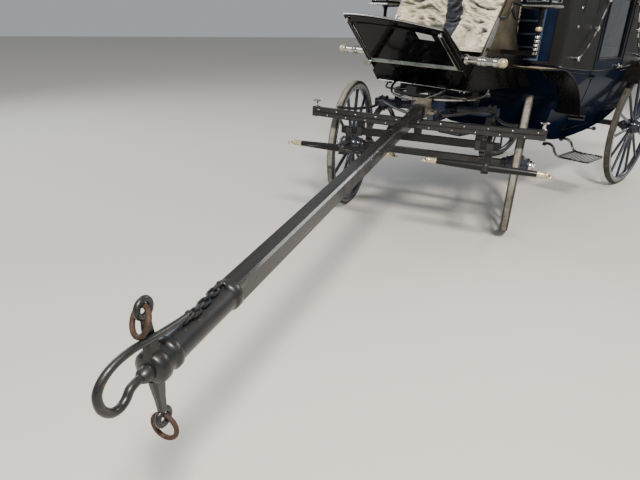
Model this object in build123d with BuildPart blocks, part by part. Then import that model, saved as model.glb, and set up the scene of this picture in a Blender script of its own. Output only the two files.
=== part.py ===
# Horse-drawn landau: a canoe-shaped coach body with two doors and a closed leather head, a driver's box in
# front, and a turning fore-carriage with its pole. Millimetres, +Z up, the front faces -Y, the near side is +X.
# Places are measured from the king bolt, on the ground. The fore-carriage stands turned to the near side.
import math
import os
from collections import namedtuple
from build123d import *

os.makedirs("parts", exist_ok=True)

# Stance, wheels and axles
STEER = 24.7            # turn of the fore-carriage towards the near side, degrees
WHEELBASE = 2505
FRONT_DIA = 1050
REAR_DIA = 1210
FRONT_TRACK = 1360
REAR_TRACK = 1430
TREAD_W = 50
TYRE_T = 24
FELLOE_D = 48           # depth of the wooden rim
NAVE_R = 78
NAVE_END_R = 56
NAVE_L = 170
SPOKE_ROOT = 38         # width at the nave
SPOKE_TIP = 26          # width at the felloe
SPOKE_T = 28
HUB_CAP_R = 44
HUB_CAP_L = 46
ARM_R = 22              # axle arm
FIT = 0.08              # running air of a bore round its arm, bolt or pin
AIR = 5.5               # air kept round whatever swings or turns
AXLE_S = 50             # square of the axle beams
ARM_STOP = 4            # an arm ends this far inside its hub cap

# Elliptic springs
SPRING_W = 44
SPRING_T = 26
SPRING_EYE_R = 17
FRONT_SPRING_X = 430
FRONT_SPRING_HALF = 400
REAR_SPRING_HALF = 440

# Fore-carriage bed and turntable
BED_Z = 872             # underside of the bed timbers
BED_T = 63
BED_HALF = 490
BED_D = 90
FUTCHELL_REAR_X = 210
FUTCHELL_REAR_Y = 330
FUTCHELL_FRONT_X = 74
FUTCHELL_FRONT_Y = -600
FUTCHELL_W = 42
RING_R = 320
RING_W = 36
RING_T = 14
RING_Z = 995            # underside of the lower ring
KING_R = 24

# Splinter bar, evener and swingletrees
SPLINTER_Y = -509
SPLINTER_Z = 832
SPLINTER_H = 65
SPLINTER_T = 46
SPLINTER_BOW = 80
SPLINTER_HALF = 833
ROLLER_IN = 24
ROLLER_H = 46
ROLLER_CAP_R = 30
EVENER_Y = -600
EVENER_Z = 745
EVENER_H = 50
EVENER_T = 40
EVENER_HALF = 560
EVENER_BLOCK_X = 420
TREE_X = 500
TREE_Y = -750
TREE_Z = 660
TREE_HALF = 410
TREE_R = 23
TREE_TIP_R = 13
TREE_BOSS_R = 30
TREE_BOSS_H = 50
HOOK_EYE_R = 24
HOOK_HOLE_R = 13
HOOK_OUT = 30           # trace eyes stand this far ahead of the tree's line
STRAP_T = 8
STRAP_W = 46
PIN_R = 9

# Pole and its iron head
POLE_W = 68
POLE_H = 76
POLE_REAR_Y = -430
POLE_REAR_Z = 972
POLE_TIP_Y = -3417
POLE_TIP_Z = 745
POLE_EDGE = 8
SLEEVE_R = 40
SLEEVE_BORE_R = 32
SLEEVE_L = 360
SLEEVE_CAP_T = 12
COLLAR_R = 47
CRAB_BACK = 14          # crab arm behind the pole's tip
CRAB_UP = 168           # its eyes above and below the pole's line
CRAB_W = 34
CRAB_T = 24
CRAB_EYE_R = 30
CRAB_HOLE_R = 16
RING_BIG = 34
RING_ROD = 6
HOOK_X = 10
HOOK_W = 18

# Cabin: side outline
WALL = 28
FRONT_Y = 445           # front wall above the belt
NOSE_Y = FRONT_DIA / 2 + 175                    # the nose clears the turned front wheel
NOSE_Z = 1020
NOSE_R = 420
TAIL_OUT = 170          # the tail stands out behind the rear axle
TAIL_WALL_Y = WHEELBASE + TAIL_OUT
MID = (FRONT_Y + TAIL_WALL_Y) / 2               # middle of the door and of the canoe-shaped body
BOTTOM_Z = 550
BELT_END_Z = 1262
BELT_MID_Z = 1188
EAVE_Z = 1800           # the leather head curves in above this
SHOULDER_Z = 1985
ROOF_Z = 2125
ROOF_DROP = 45
# Cabin: cross-section and plan
HALF_W = 662
KEEL_HALF = 430
KEEL_Z = BOTTOM_Z - 5
BILGE_X = 596
BILGE_Z = 860
SIDE_Z = 1190           # the sides stand upright above this
SHOULDER_X = 620
ROOF_EDGE_X = 500
FACE_HALF = 410
CORNER_X = 568
CORNER_Y = FRONT_Y + 65
CHEST_X = 634
CHEST_Y = FRONT_Y + 225
SPAN = 900              # half width of a cutting slab, beyond the whole body

# Doors, windows and seats
HALF_DOOR = 310
FLOOR_Z = 640
FLOOR_T = 26
HEADER_Z = 1830
HEAD_GAP = 1            # the two halves of the head meet over the door
LIGHT_Y = 52            # stile beside the door glass
LIGHT_Z0 = 1275
LIGHT_Z1 = 1768
WINDOW_X = 330
WINDOW_Z0 = 1370
WINDOW_Z1 = 1780
PANE_IN = 11
PANE_T = 6
HINGE_OUT = 13          # hinge line outside the door's face
HINGE_Z = (1150, 800)
HINGE_PIN_R = 6
KNUCKLE_R = 10.5
KNUCKLE_H = 18
HINGE_REACH = 54
SEAT_Z = 960
SEAT_D = 440
CUSHION_T = 90
BACKREST_T = 110
SOFT = 0.4              # air round the soft pieces

# Driver's box
BOX_X = 420
BOX_BOTTOM = 1080
BOX_TOP = 1330
BOX_REAR_Y = 700
CHEEK_T = 16
CHEEK_TOP = 1725
CHEEK_TOP_Y = 80
CHEEK_W = 160
BENCH_HALF = 375
BENCH_Z = 1455
BENCH_Y0 = -70
BENCH_Y1 = 380
BACK_Y = 265
BACK_T = 80
BACK_TOP = 1890
COVER_T = 18
TUBE_Y = -360
TUBE_Z = 1298
TUBE_R = 23
TUBE_HALF = 730
DASH_HALF = 432
DASH_TOP_Y = -667
DASH_TOP_Z = 1520
DASH_LOW_Y = -345
DASH_LOW_Z = 1226
DASH_CROWN = 26
TOE_Y = -222
TOE_Z = 1082
PANEL_T = 22
RETURN_T = 14

# Wings, lamps, irons and steps
WING_X0 = 585
WING_X1 = 800
WING_T = 6
WING_FRONT_Y = -50
WING_Z = 1262
WING_TAIL_Y = 830
WING_TAIL_Z = 880
STAY_W = 28
STAY_T = 10
REAR_WING_R = REAR_DIA / 2 + 85
LAMP_X = 680
LAMP_Y = 90
LAMP_Z0 = 1640
LAMP_Z1 = 1880
LAMP_W = 170
LAMP_WALL = 6
LAMP_STEM_R = 13
IRON_W = 16
IRON_T = 14
STEP_Z = 425
STEP_X0 = 520
STEP_X1 = 800
STEP_Y0 = MID - 310
STEP_Y1 = MID + 60
STEP_T = 14
SLATS = 9
TAIL_X = 450            # rear frame irons
TAIL_Z = 935
TAIL_REACH = 320

FORE = Location((0, 0, 0), (0, 0, STEER))
STRAIGHT = Location((0, 0, 0))
# The frame's origin is the middle of the object's outline on the ground.
ORIGIN_X = 330.15
ORIGIN_Y = -78.55
TO_ORIGIN = Location((-ORIGIN_X, -ORIGIN_Y, 0))
SIDES = (-1, 1)         # off side and near side
ENDS = (-1, 1)          # front and rear


def plane(origin, normal, across, turn=STRAIGHT):
    """A working plane by its origin, normal and x direction, turned with the fore-carriage if asked."""
    return Plane(TO_ORIGIN * turn * Plane(origin=origin, x_dir=across, z_dir=normal).location)


def cross(x, turn=STRAIGHT):
    """Plane across the carriage at x: sketch x runs rearward, sketch y runs up."""
    return plane((x, 0, 0), (1, 0, 0), (0, 1, 0), turn)


def facing(y, turn=STRAIGHT):
    """Plane facing forward at y: sketch x runs to the near side, sketch y runs up."""
    return plane((0, y, 0), (0, -1, 0), (1, 0, 0), turn)


def level(z, turn=STRAIGHT):
    """Level plane at height z: sketch x runs to the near side, sketch y rearward."""
    return plane((0, 0, z), (0, 0, 1), (1, 0, 0), turn)


def circle_through(a, b, c):
    """Centre and radius of the circle through three points."""
    d = 2 * (a[0] * (b[1] - c[1]) + b[0] * (c[1] - a[1]) + c[0] * (a[1] - b[1]))
    aa, bb, cc = (p[0] ** 2 + p[1] ** 2 for p in (a, b, c))
    u = (aa * (b[1] - c[1]) + bb * (c[1] - a[1]) + cc * (a[1] - b[1])) / d
    v = (aa * (c[0] - b[0]) + bb * (a[0] - c[0]) + cc * (b[0] - a[0])) / d
    return u, v, math.hypot(a[0] - u, a[1] - v)


# Outline of the cabin
BELT_RISE = BELT_END_Z - BELT_MID_Z
BELT_R = ((MID - FRONT_Y) ** 2 + BELT_RISE ** 2) / (2 * BELT_RISE)


def belt(y):
    """Height of the belt line, a shallow sagging arc."""
    return BELT_MID_Z + BELT_R - math.sqrt(BELT_R ** 2 - (y - MID) ** 2)


# The canoe bottom: two nose arcs joined tangentially by one long arc.
NOSE_CY = NOSE_Y + NOSE_R
KEEL_RISE = NOSE_Z - BOTTOM_Z - NOSE_R
KEEL_CZ = ((MID - NOSE_CY) ** 2 + NOSE_Z ** 2 - (BOTTOM_Z + NOSE_R) ** 2) / (2 * KEEL_RISE)
JOIN_DIR = (NOSE_CY - MID, NOSE_Z - KEEL_CZ)
JOIN_LEN = math.hypot(*JOIN_DIR)
JOIN_Y = NOSE_CY + NOSE_R * JOIN_DIR[0] / JOIN_LEN
JOIN_Z = NOSE_Z + NOSE_R * JOIN_DIR[1] / JOIN_LEN
HALF_ANGLE = (math.pi + math.atan2(JOIN_Z - NOSE_Z, JOIN_Y - NOSE_CY) % (2 * math.pi)) / 2
NOSE_MID = (NOSE_CY + NOSE_R * math.cos(HALF_ANGLE), NOSE_Z + NOSE_R * math.sin(HALF_ANGLE))


def nose(radius, y, z):
    """The point on the nose arc's direction through (y, z), at another radius about the same centre."""
    scale = radius / math.hypot(y - NOSE_CY, z - NOSE_Z)
    return (NOSE_CY + (y - NOSE_CY) * scale, NOSE_Z + (z - NOSE_Z) * scale)


def mirrored(point):
    """The same point on the rear half of the side outline."""
    return (2 * MID - point[0], point[1])


def cabin_form(t):
    """The cabin as the common volume of its side outline, cross-section and plan, drawn in by a wall t."""
    sill_top = (FRONT_Y + t, BELT_END_Z + 28)
    chin = (FRONT_Y + 25 + t, BELT_END_Z - 12)
    nose_top = (NOSE_Y + t, NOSE_Z)
    nose_mid = nose(NOSE_R - t, *NOSE_MID)
    join = nose(NOSE_R - t, JOIN_Y, JOIN_Z)
    brow = (FRONT_Y - 8 + t, EAVE_Z)
    brow_mid = (FRONT_Y + 62 + 0.8 * t, SHOULDER_Z - 0.6 * t)
    roof = (FRONT_Y + 230 + 0.2 * t, ROOF_Z - ROOF_DROP - t)
    keel = (KEEL_HALF - 0.6 * t, KEEL_Z + t)
    bilge = (BILGE_X - 0.95 * t, BILGE_Z + 0.3 * t)
    waist = (HALF_W - t, SIDE_Z)
    eave = (HALF_W - 6 - t, EAVE_Z)
    shoulder = (SHOULDER_X - 0.8 * t, SHOULDER_Z - 0.6 * t)
    roof_edge = (ROOF_EDGE_X - 0.3 * t, ROOF_Z - ROOF_DROP + 2 - t)
    face = (FACE_HALF, FRONT_Y - 10 + t)
    corner = (CORNER_X - 0.7 * t, CORNER_Y + 0.7 * t)
    chest = (CHEST_X - t, CHEST_Y + 0.1 * t)
    with BuildPart() as form:
        with BuildSketch(cross(-SPAN)):
            with BuildLine():
                Polyline(sill_top, chin, nose_top)
                ThreePointArc(nose_top, nose_mid, join)
                ThreePointArc(join, (MID, BOTTOM_Z + t), mirrored(join))
                ThreePointArc(mirrored(join), mirrored(nose_mid), mirrored(nose_top))
                Polyline(mirrored(nose_top), mirrored(chin), mirrored(sill_top), mirrored(brow))
                ThreePointArc(mirrored(brow), mirrored(brow_mid), mirrored(roof))
                ThreePointArc(mirrored(roof), (MID, ROOF_Z - t), roof)
                ThreePointArc(roof, brow_mid, brow)
                Line(brow, sill_top)
            make_face()
        extrude(amount=2 * SPAN)
        with BuildSketch(facing(4 * SPAN)):
            with BuildLine():
                Line((0, keel[1]), keel)
                ThreePointArc(keel, bilge, waist)
                Line(waist, eave)
                ThreePointArc(eave, shoulder, roof_edge)
                ThreePointArc(roof_edge, (ROOF_EDGE_X / 2, ROOF_Z - 11 - t), (0, ROOF_Z + 2 - t))
                Line((0, ROOF_Z + 2 - t), (0, keel[1]))
            make_face()
            mirror(about=Plane.YZ)
        extrude(amount=4 * SPAN, mode=Mode.INTERSECT)
        with BuildSketch(level(0)):
            with BuildLine():
                Line((0, face[1]), face)
                ThreePointArc(face, corner, chest)
                Polyline(chest, (HALF_W - t, MID - HALF_DOOR), (HALF_W - t, MID), (0, MID), (0, face[1]))
            make_face()
            mirror(about=Plane.YZ)
            mirror(about=Plane.XZ.offset(-MID))
        extrude(amount=3 * SPAN, mode=Mode.INTERSECT)
    return form.part


def slab(y0, y1, z0, z1, x0=-SPAN, x1=SPAN):
    """A plain block between the stated limits, used to cut the cabin where its real panels meet."""
    with BuildPart() as block:
        with BuildSketch(cross(x0)):
            with Locations(((y0 + y1) / 2, (z0 + z1) / 2)):
                Rectangle(y1 - y0, z1 - z0)
        extrude(amount=x1 - x0)
    return block.part


def below_belt(y0, y1):
    """Slab across the carriage between y0 and y1, from the ground up to the belt line."""
    middle = (y0 + y1) / 2
    with BuildPart() as block:
        with BuildSketch(cross(-SPAN)):
            with BuildLine():
                Polyline((y0, belt(y0)), (y0, 0), (y1, 0), (y1, belt(y1)))
                ThreePointArc((y1, belt(y1)), (middle, belt(middle)), (y0, belt(y0)))
            make_face()
        extrude(amount=2 * SPAN)
    return block.part


OUTER = cabin_form(0)
INNER = cabin_form(WALL)
PANE_FACE = cabin_form(PANE_IN)
PANE_BACK = cabin_form(PANE_IN + PANE_T)
SOFT_FORM = cabin_form(WALL + SOFT)
BEFORE = FRONT_Y - 145  # cutting limits ahead of the cabin and behind it
BEHIND = 2 * MID - BEFORE

# Wheels: felloe, spokes, nave and hub cap are one body, the tyre is shrunk on
Wheel = namedtuple("Wheel", "name x y dia spokes turn side")
WHEELS = (
    Wheel("front_near", FRONT_TRACK / 2, 0, FRONT_DIA, 12, FORE, 1),
    Wheel("front_off", -FRONT_TRACK / 2, 0, FRONT_DIA, 12, FORE, -1),
    Wheel("rear_near", REAR_TRACK / 2, WHEELBASE, REAR_DIA, 14, STRAIGHT, 1),
    Wheel("rear_off", -REAR_TRACK / 2, WHEELBASE, REAR_DIA, 14, STRAIGHT, -1),
)
for w in WHEELS:
    out = plane((w.x, w.y, w.dia / 2), (w.side, 0, 0), (0, 1, 0), w.turn)
    rim_r = w.dia / 2 - TYRE_T
    tip_r = rim_r - FELLOE_D + 4
    root_r = NAVE_R - 12
    with BuildPart() as wheel:
        with BuildSketch(out.offset(-TREAD_W / 2)):
            Circle(rim_r)
            Circle(rim_r - FELLOE_D, mode=Mode.SUBTRACT)
        extrude(amount=TREAD_W)
        # nave, full where the spokes enter and drawn in to its two ends
        for reach, radius in ((-1 / 2, NAVE_END_R), (-1 / 5, NAVE_R), (1 / 5, NAVE_R), (1 / 2, NAVE_END_R)):
            with BuildSketch(out.offset(reach * NAVE_L)):
                RegularPolygon(radius, w.spokes)
        loft(ruled=True)
        # tapered spokes
        with BuildSketch(out.offset(-SPOKE_T / 2)):
            with PolarLocations(0, w.spokes, start_angle=90 / w.spokes):
                Polygon((root_r, -SPOKE_ROOT / 2), (tip_r, -SPOKE_TIP / 2), (tip_r, SPOKE_TIP / 2),
                        (root_r, SPOKE_ROOT / 2), align=None)
        extrude(amount=SPOKE_T)
        # hub cap: a collar and a six-sided end
        with BuildSketch(out.offset(NAVE_L / 2)):
            RegularPolygon(HUB_CAP_R, 12)
        extrude(amount=HUB_CAP_L * 0.6)
        with BuildSketch(out.offset(NAVE_L / 2 + HUB_CAP_L * 0.6)):
            RegularPolygon(HUB_CAP_R * 0.8, 6)
        extrude(amount=HUB_CAP_L * 0.4)
        # bore for the axle arm
        with BuildSketch(out.offset(-NAVE_L / 2)):
            Circle(ARM_R + FIT)
        extrude(amount=NAVE_L, mode=Mode.SUBTRACT)
    wheel.part.label = "wheel_" + w.name
    export_step(wheel.part, "parts/wheel_" + w.name + ".step")

    with BuildPart() as tyre:
        with BuildSketch(out.offset(-TREAD_W / 2)):
            Circle(w.dia / 2)
            Circle(rim_r, mode=Mode.SUBTRACT)
        extrude(amount=TREAD_W)
    tyre.part.label = "tyre_" + w.name
    export_step(tyre.part, "parts/tyre_" + w.name + ".step")

# Axles: a square beam with a round arm at each end
ARM_END = NAVE_L / 2 - ARM_STOP
Axle = namedtuple("Axle", "name track y z turn")
AXLES = (
    Axle("front_axle", FRONT_TRACK, 0, FRONT_DIA / 2, FORE),
    Axle("rear_axle", REAR_TRACK, WHEELBASE, REAR_DIA / 2, STRAIGHT),
)
for a in AXLES:
    beam = a.track / 2 - NAVE_L / 2 - AIR
    with BuildPart() as axle:
        with BuildSketch(plane((-beam, a.y, a.z), (1, 0, 0), (0, 1, 0), a.turn)):
            Rectangle(AXLE_S, AXLE_S)
        extrude(amount=2 * beam)
        with BuildSketch(plane((-a.track / 2 - ARM_END, a.y, a.z), (1, 0, 0), (0, 1, 0), a.turn)):
            Circle(ARM_R)
        extrude(amount=a.track + 2 * ARM_END)
    axle.part.label = a.name
    export_step(axle.part, "parts/" + a.name + ".step")

# Elliptic springs: two lengthwise under the fore-carriage, one crosswise at the rear
LENGTHWISE = ((1, 0, 0), (0, 1, 0))
CROSSWISE = ((0, -1, 0), (1, 0, 0))
Spring = namedtuple("Spring", "name lie places low high half")
SPRINGS = (
    Spring("front_springs", LENGTHWISE,
           (FORE * Location((-FRONT_SPRING_X, 0, 0)), FORE * Location((FRONT_SPRING_X, 0, 0))),
           FRONT_DIA / 2 + AXLE_S / 2, BED_Z, FRONT_SPRING_HALF),
    Spring("rear_spring", CROSSWISE, (Location((0, WHEELBASE, 0)),),
           REAR_DIA / 2 + AXLE_S / 2, TAIL_Z, REAR_SPRING_HALF),
)
for s in SPRINGS:
    eye_z = (s.low + s.high) / 2
    inside = s.half - 30
    with BuildPart() as spring:
        for place in s.places:
            with BuildSketch(plane((0, 0, 0), *s.lie, place).offset(-SPRING_W / 2)):
                with BuildLine():
                    ThreePointArc((-s.half, eye_z), (0, s.low), (s.half, eye_z))
                    ThreePointArc((s.half, eye_z), (0, s.high), (-s.half, eye_z))
                make_face()
                with BuildLine():
                    ThreePointArc((-inside, eye_z), (0, s.low + SPRING_T), (inside, eye_z))
                    ThreePointArc((inside, eye_z), (0, s.high - SPRING_T), (-inside, eye_z))
                make_face(mode=Mode.SUBTRACT)
                with Locations((-s.half + 12, eye_z), (s.half - 12, eye_z)):
                    RegularPolygon(SPRING_EYE_R, 8)
            extrude(amount=SPRING_W)
    spring.part.label = s.name
    export_step(spring.part, "parts/" + s.name + ".step")

# Splinter bar, bowed forward in the middle, with a roller bolt at each end
with BuildPart() as splinter:
    front = SPLINTER_Y - SPLINTER_T / 2
    back = SPLINTER_Y + SPLINTER_T / 2
    with BuildSketch(level(SPLINTER_Z, FORE)):
        with BuildLine():
            ThreePointArc((-SPLINTER_HALF, front), (0, front - SPLINTER_BOW), (SPLINTER_HALF, front))
            Line((SPLINTER_HALF, front), (SPLINTER_HALF, back))
            ThreePointArc((SPLINTER_HALF, back), (0, back - SPLINTER_BOW), (-SPLINTER_HALF, back))
            Line((-SPLINTER_HALF, back), (-SPLINTER_HALF, front))
        make_face()
    extrude(amount=SPLINTER_H)
splinter.part.label = "splinter_bar"
export_step(splinter.part, "parts/splinter_bar.step")

ROLLER_X = SPLINTER_HALF - ROLLER_IN
SPLINTER_TOP = SPLINTER_Z + SPLINTER_H
with BuildPart() as rollers:
    for side in SIDES:
        with BuildSketch(level(SPLINTER_TOP, FORE)):
            with Locations((side * ROLLER_X, SPLINTER_Y)):
                RegularPolygon(ROLLER_CAP_R * 0.4, 8)
        extrude(amount=ROLLER_H)
        with BuildSketch(level(SPLINTER_TOP + ROLLER_H - 6, FORE)):
            with Locations((side * ROLLER_X, SPLINTER_Y)):
                RegularPolygon(ROLLER_CAP_R, 16)
        extrude(amount=14, taper=25)
rollers.part.label = "roller_bolts"
export_step(rollers.part, "parts/roller_bolts.step")

# Fore-carriage bed: transom over the springs, two futchells that close in on the pole, pads under the ring
BED_TOP = BED_Z + BED_T
with BuildPart() as fore_frame:
    with BuildSketch(level(BED_Z, FORE)):
        Rectangle(2 * BED_HALF, BED_D)
        with Locations((0, FUTCHELL_REAR_Y)):
            Rectangle(2 * FUTCHELL_REAR_X + FUTCHELL_W + 20, FUTCHELL_W)
        for side in SIDES:
            Polygon((side * (FUTCHELL_REAR_X - FUTCHELL_W / 2), FUTCHELL_REAR_Y),
                    (side * (FUTCHELL_REAR_X + FUTCHELL_W / 2), FUTCHELL_REAR_Y),
                    (side * (FUTCHELL_FRONT_X + FUTCHELL_W / 2), FUTCHELL_FRONT_Y),
                    (side * (FUTCHELL_FRONT_X - FUTCHELL_W / 2), FUTCHELL_FRONT_Y), align=None)
    extrude(amount=BED_T)
    with BuildSketch(level(BED_TOP, FORE)):
        with Locations((0, 10 - RING_R), (0, RING_R - 10)):
            Rectangle(250, RING_W + 10)
        with Locations((10 - RING_R, 0), (RING_R - 10, 0)):
            Rectangle(RING_W + 10, RING_W + 10)
    extrude(amount=RING_Z - BED_TOP)
    # boss for the king bolt
    with BuildSketch(level(BED_TOP, FORE)):
        RegularPolygon(60, 12)
    extrude(amount=RING_Z + RING_T - BED_TOP)
    with BuildSketch(level(BED_Z, FORE)):
        Circle(KING_R + FIT)
    extrude(amount=RING_Z + RING_T - BED_Z, mode=Mode.SUBTRACT)
    # the futchells are notched over the splinter bar
    add(splinter.part, mode=Mode.SUBTRACT)
fore_frame.part.label = "fore_frame"
export_step(fore_frame.part, "parts/fore_frame.step")

with BuildPart() as lower_ring:
    with BuildSketch(level(RING_Z, FORE)):
        Circle(RING_R + RING_W / 2)
        Circle(RING_R - RING_W / 2, mode=Mode.SUBTRACT)
    extrude(amount=RING_T)
lower_ring.part.label = "turntable_lower_ring"
export_step(lower_ring.part, "parts/turntable_lower_ring.step")

# the upper ring hangs from the box by cross blocks and carries the king bolt
UPPER_Z = RING_Z + RING_T + AIR
with BuildPart() as upper_ring:
    with BuildSketch(level(UPPER_Z)):
        Circle(RING_R + RING_W / 2)
        Circle(RING_R - RING_W / 2, mode=Mode.SUBTRACT)
    extrude(amount=RING_T)
    with BuildSketch(level(UPPER_Z + RING_T)):
        Rectangle(2 * RING_R + RING_W, 2.5 * RING_W)
        Rectangle(2.5 * RING_W, 2 * RING_R + RING_W)
    extrude(amount=BOX_BOTTOM - UPPER_Z - RING_T)
    with BuildSketch(level(BED_Z - 30)):
        Circle(KING_R)
    extrude(amount=UPPER_Z + RING_T - BED_Z + 30)
upper_ring.part.label = "turntable_upper_ring"
export_step(upper_ring.part, "parts/turntable_upper_ring.step")

# Pole: its line lies in the fore-carriage's middle plane and falls towards the front
POLE_SLOPE = math.atan2(POLE_REAR_Z - POLE_TIP_Z, POLE_REAR_Y - POLE_TIP_Y)
POLE_COS = math.cos(POLE_SLOPE)
POLE_SIN = math.sin(POLE_SLOPE)
POLE_LINE = (0, -POLE_COS, -POLE_SIN)
POLE_LEN = math.hypot(POLE_REAR_Y - POLE_TIP_Y, POLE_REAR_Z - POLE_TIP_Z)


def pole_point(along, up=0.0):
    """A point on the pole's middle line, measured forward from its rear end, and lifted square to it."""
    return (0, POLE_REAR_Y - along * POLE_COS - up * POLE_SIN, POLE_REAR_Z - along * POLE_SIN + up * POLE_COS)


def on_pole(along):
    """Plane square to the pole: sketch x runs to the near side, sketch y up."""
    return plane(pole_point(along), POLE_LINE, (1, 0, 0), FORE)


SLEEVE_START = POLE_LEN - SLEEVE_L
with BuildPart() as pole:
    with BuildSketch(on_pole(0)):
        Rectangle(POLE_W, POLE_H)
    extrude(amount=SLEEVE_START)
    chamfer(pole.edges().sort_by(SortBy.LENGTH)[-4:], length=POLE_EDGE)
    with BuildSketch(on_pole(SLEEVE_START)):
        RegularPolygon(SLEEVE_BORE_R, 16)
    extrude(amount=SLEEVE_L - SLEEVE_CAP_T)
pole.part.label = "pole"
export_step(pole.part, "parts/pole.step")

# iron sleeve with a raised collar at its rear, one behind the crab, and the crab's own boss at the cap
Collar = namedtuple("Collar", "start length")
COLLARS = (Collar(0, 30), Collar(SLEEVE_L - 75, 22), Collar(SLEEVE_L - CRAB_BACK - CRAB_W / 2 - 1, CRAB_W + 2))
with BuildPart() as sleeve:
    with BuildSketch(on_pole(SLEEVE_START)):
        RegularPolygon(SLEEVE_R, 20)
    extrude(amount=SLEEVE_L)
    for c in COLLARS:
        with BuildSketch(on_pole(SLEEVE_START + c.start)):
            RegularPolygon(COLLAR_R, 20)
        extrude(amount=c.length)
    with BuildSketch(on_pole(SLEEVE_START)):
        RegularPolygon(SLEEVE_BORE_R, 16)
    extrude(amount=SLEEVE_L - SLEEVE_CAP_T, mode=Mode.SUBTRACT)
sleeve.part.label = "pole_sleeve"
export_step(sleeve.part, "parts/pole_sleeve.step")

# crab: an upright arm across the sleeve's head with an eye at each end
CRAB_AT = POLE_LEN - CRAB_BACK
with BuildPart() as crab:
    with BuildSketch(plane(pole_point(CRAB_AT), (1, 0, 0), POLE_LINE, FORE).offset(-CRAB_T / 2)):
        Rectangle(CRAB_W, 2 * CRAB_UP)
        with Locations((0, CRAB_UP), (0, -CRAB_UP)):
            RegularPolygon(CRAB_EYE_R, 16)
            RegularPolygon(CRAB_HOLE_R, 12, mode=Mode.SUBTRACT)
    extrude(amount=CRAB_T)
    with BuildSketch(on_pole(SLEEVE_START)):
        Circle(SLEEVE_R)
    extrude(amount=SLEEVE_L, mode=Mode.SUBTRACT)
    add(sleeve.part, mode=Mode.SUBTRACT)
crab.part.label = "crab"
export_step(crab.part, "parts/crab.step")

# two rings of round iron hang in the eyes
# play is how far the bent ring clears the flat of its eye
LooseRing = namedtuple("LooseRing", "up tilt play")
LOOSE_RINGS = (LooseRing(CRAB_UP, 25, 6), LooseRing(-CRAB_UP, 0, 5.2))
with BuildPart() as rings:
    for r in LOOSE_RINGS:
        eye = plane(pole_point(CRAB_AT, r.up), (1, 0, 0), (0, 1, 0), FORE)
        lean = math.radians(r.tilt)
        drop = RING_BIG
        bear = RING_ROD + r.play - CRAB_HOLE_R
        centre = eye.from_local_coords((-drop * math.sin(lean), bear - drop * math.cos(lean), 0))
        tall = eye.from_local_coords((math.sin(lean), math.cos(lean), 0)) - eye.origin
        with BuildSketch(Plane(origin=centre, x_dir=tall, z_dir=eye.z_dir.cross(tall)).offset(-RING_ROD)):
            RegularPolygon(RING_BIG + RING_ROD, 16)
            RegularPolygon(RING_BIG - RING_ROD, 16, mode=Mode.SUBTRACT)
        extrude(amount=2 * RING_ROD)
rings.part.label = "crab_rings"
export_step(rings.part, "parts/crab_rings.step")

# loop hook over the pole's head, a bent iron rod from its eye on the sleeve round to the boss on the nose
HOOK_TAIL = (POLE_TIP_Y + 135, POLE_TIP_Z + 73)
HOOK_SHOULDER = (POLE_TIP_Y - 73, POLE_TIP_Z + 100)
HOOK_BELLY = (POLE_TIP_Y - 169, POLE_TIP_Z + 20)
HOOK_CHIN = (POLE_TIP_Y - 114, POLE_TIP_Z - 34)
HOOK_END = (POLE_TIP_Y - 14, POLE_TIP_Z + 2)
with BuildPart() as hook:
    with BuildSketch(cross(HOOK_X - HOOK_W / 2, FORE)):
        with BuildLine():
            Line(HOOK_TAIL, HOOK_SHOULDER)
            ThreePointArc(HOOK_SHOULDER, HOOK_BELLY, HOOK_CHIN)
            Line(HOOK_CHIN, HOOK_END)
        trace(line_width=HOOK_W)
        with Locations(HOOK_TAIL, HOOK_END):
            RegularPolygon(HOOK_W, 8)
    extrude(amount=HOOK_W)
    add(sleeve.part, mode=Mode.SUBTRACT)
    add(crab.part, mode=Mode.SUBTRACT)
    add(rings.part, mode=Mode.SUBTRACT)
hook.part.label = "pole_hook"
export_step(hook.part, "parts/pole_hook.step")

# iron socket that holds the pole between the futchells
with BuildPart() as socket:
    with BuildSketch(on_pole(14)):
        Rectangle(POLE_W + 24, POLE_H + 24)
    extrude(amount=170)
    with BuildSketch(level(BED_TOP, FORE)):
        with Locations((0, FUTCHELL_FRONT_Y + 75)):
            Rectangle(2 * FUTCHELL_FRONT_X + FUTCHELL_W, 130)
    extrude(amount=14)
    with BuildSketch(on_pole(-60)):
        Rectangle(POLE_W, POLE_H)
    extrude(amount=400, mode=Mode.SUBTRACT)
    add(fore_frame.part, mode=Mode.SUBTRACT)
    add(splinter.part, mode=Mode.SUBTRACT)
    add(lower_ring.part, mode=Mode.SUBTRACT)
socket.part.label = "pole_socket"
export_step(socket.part, "parts/pole_socket.step")

# Evener bar under the splinter bar, hung from it by two blocks
with BuildPart() as evener:
    with BuildSketch(level(EVENER_Z, FORE)):
        with Locations((0, EVENER_Y)):
            Rectangle(2 * EVENER_HALF, EVENER_T)
    extrude(amount=EVENER_H)
    with BuildSketch(level(EVENER_Z + EVENER_H, FORE)):
        with Locations((-EVENER_BLOCK_X, EVENER_Y + 14), (0, EVENER_Y + 14), (EVENER_BLOCK_X, EVENER_Y + 14)):
            Rectangle(50, EVENER_T)
    extrude(amount=SPLINTER_Z - EVENER_Z - EVENER_H)
evener.part.label = "evener_bar"
export_step(evener.part, "parts/evener_bar.step")

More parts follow.
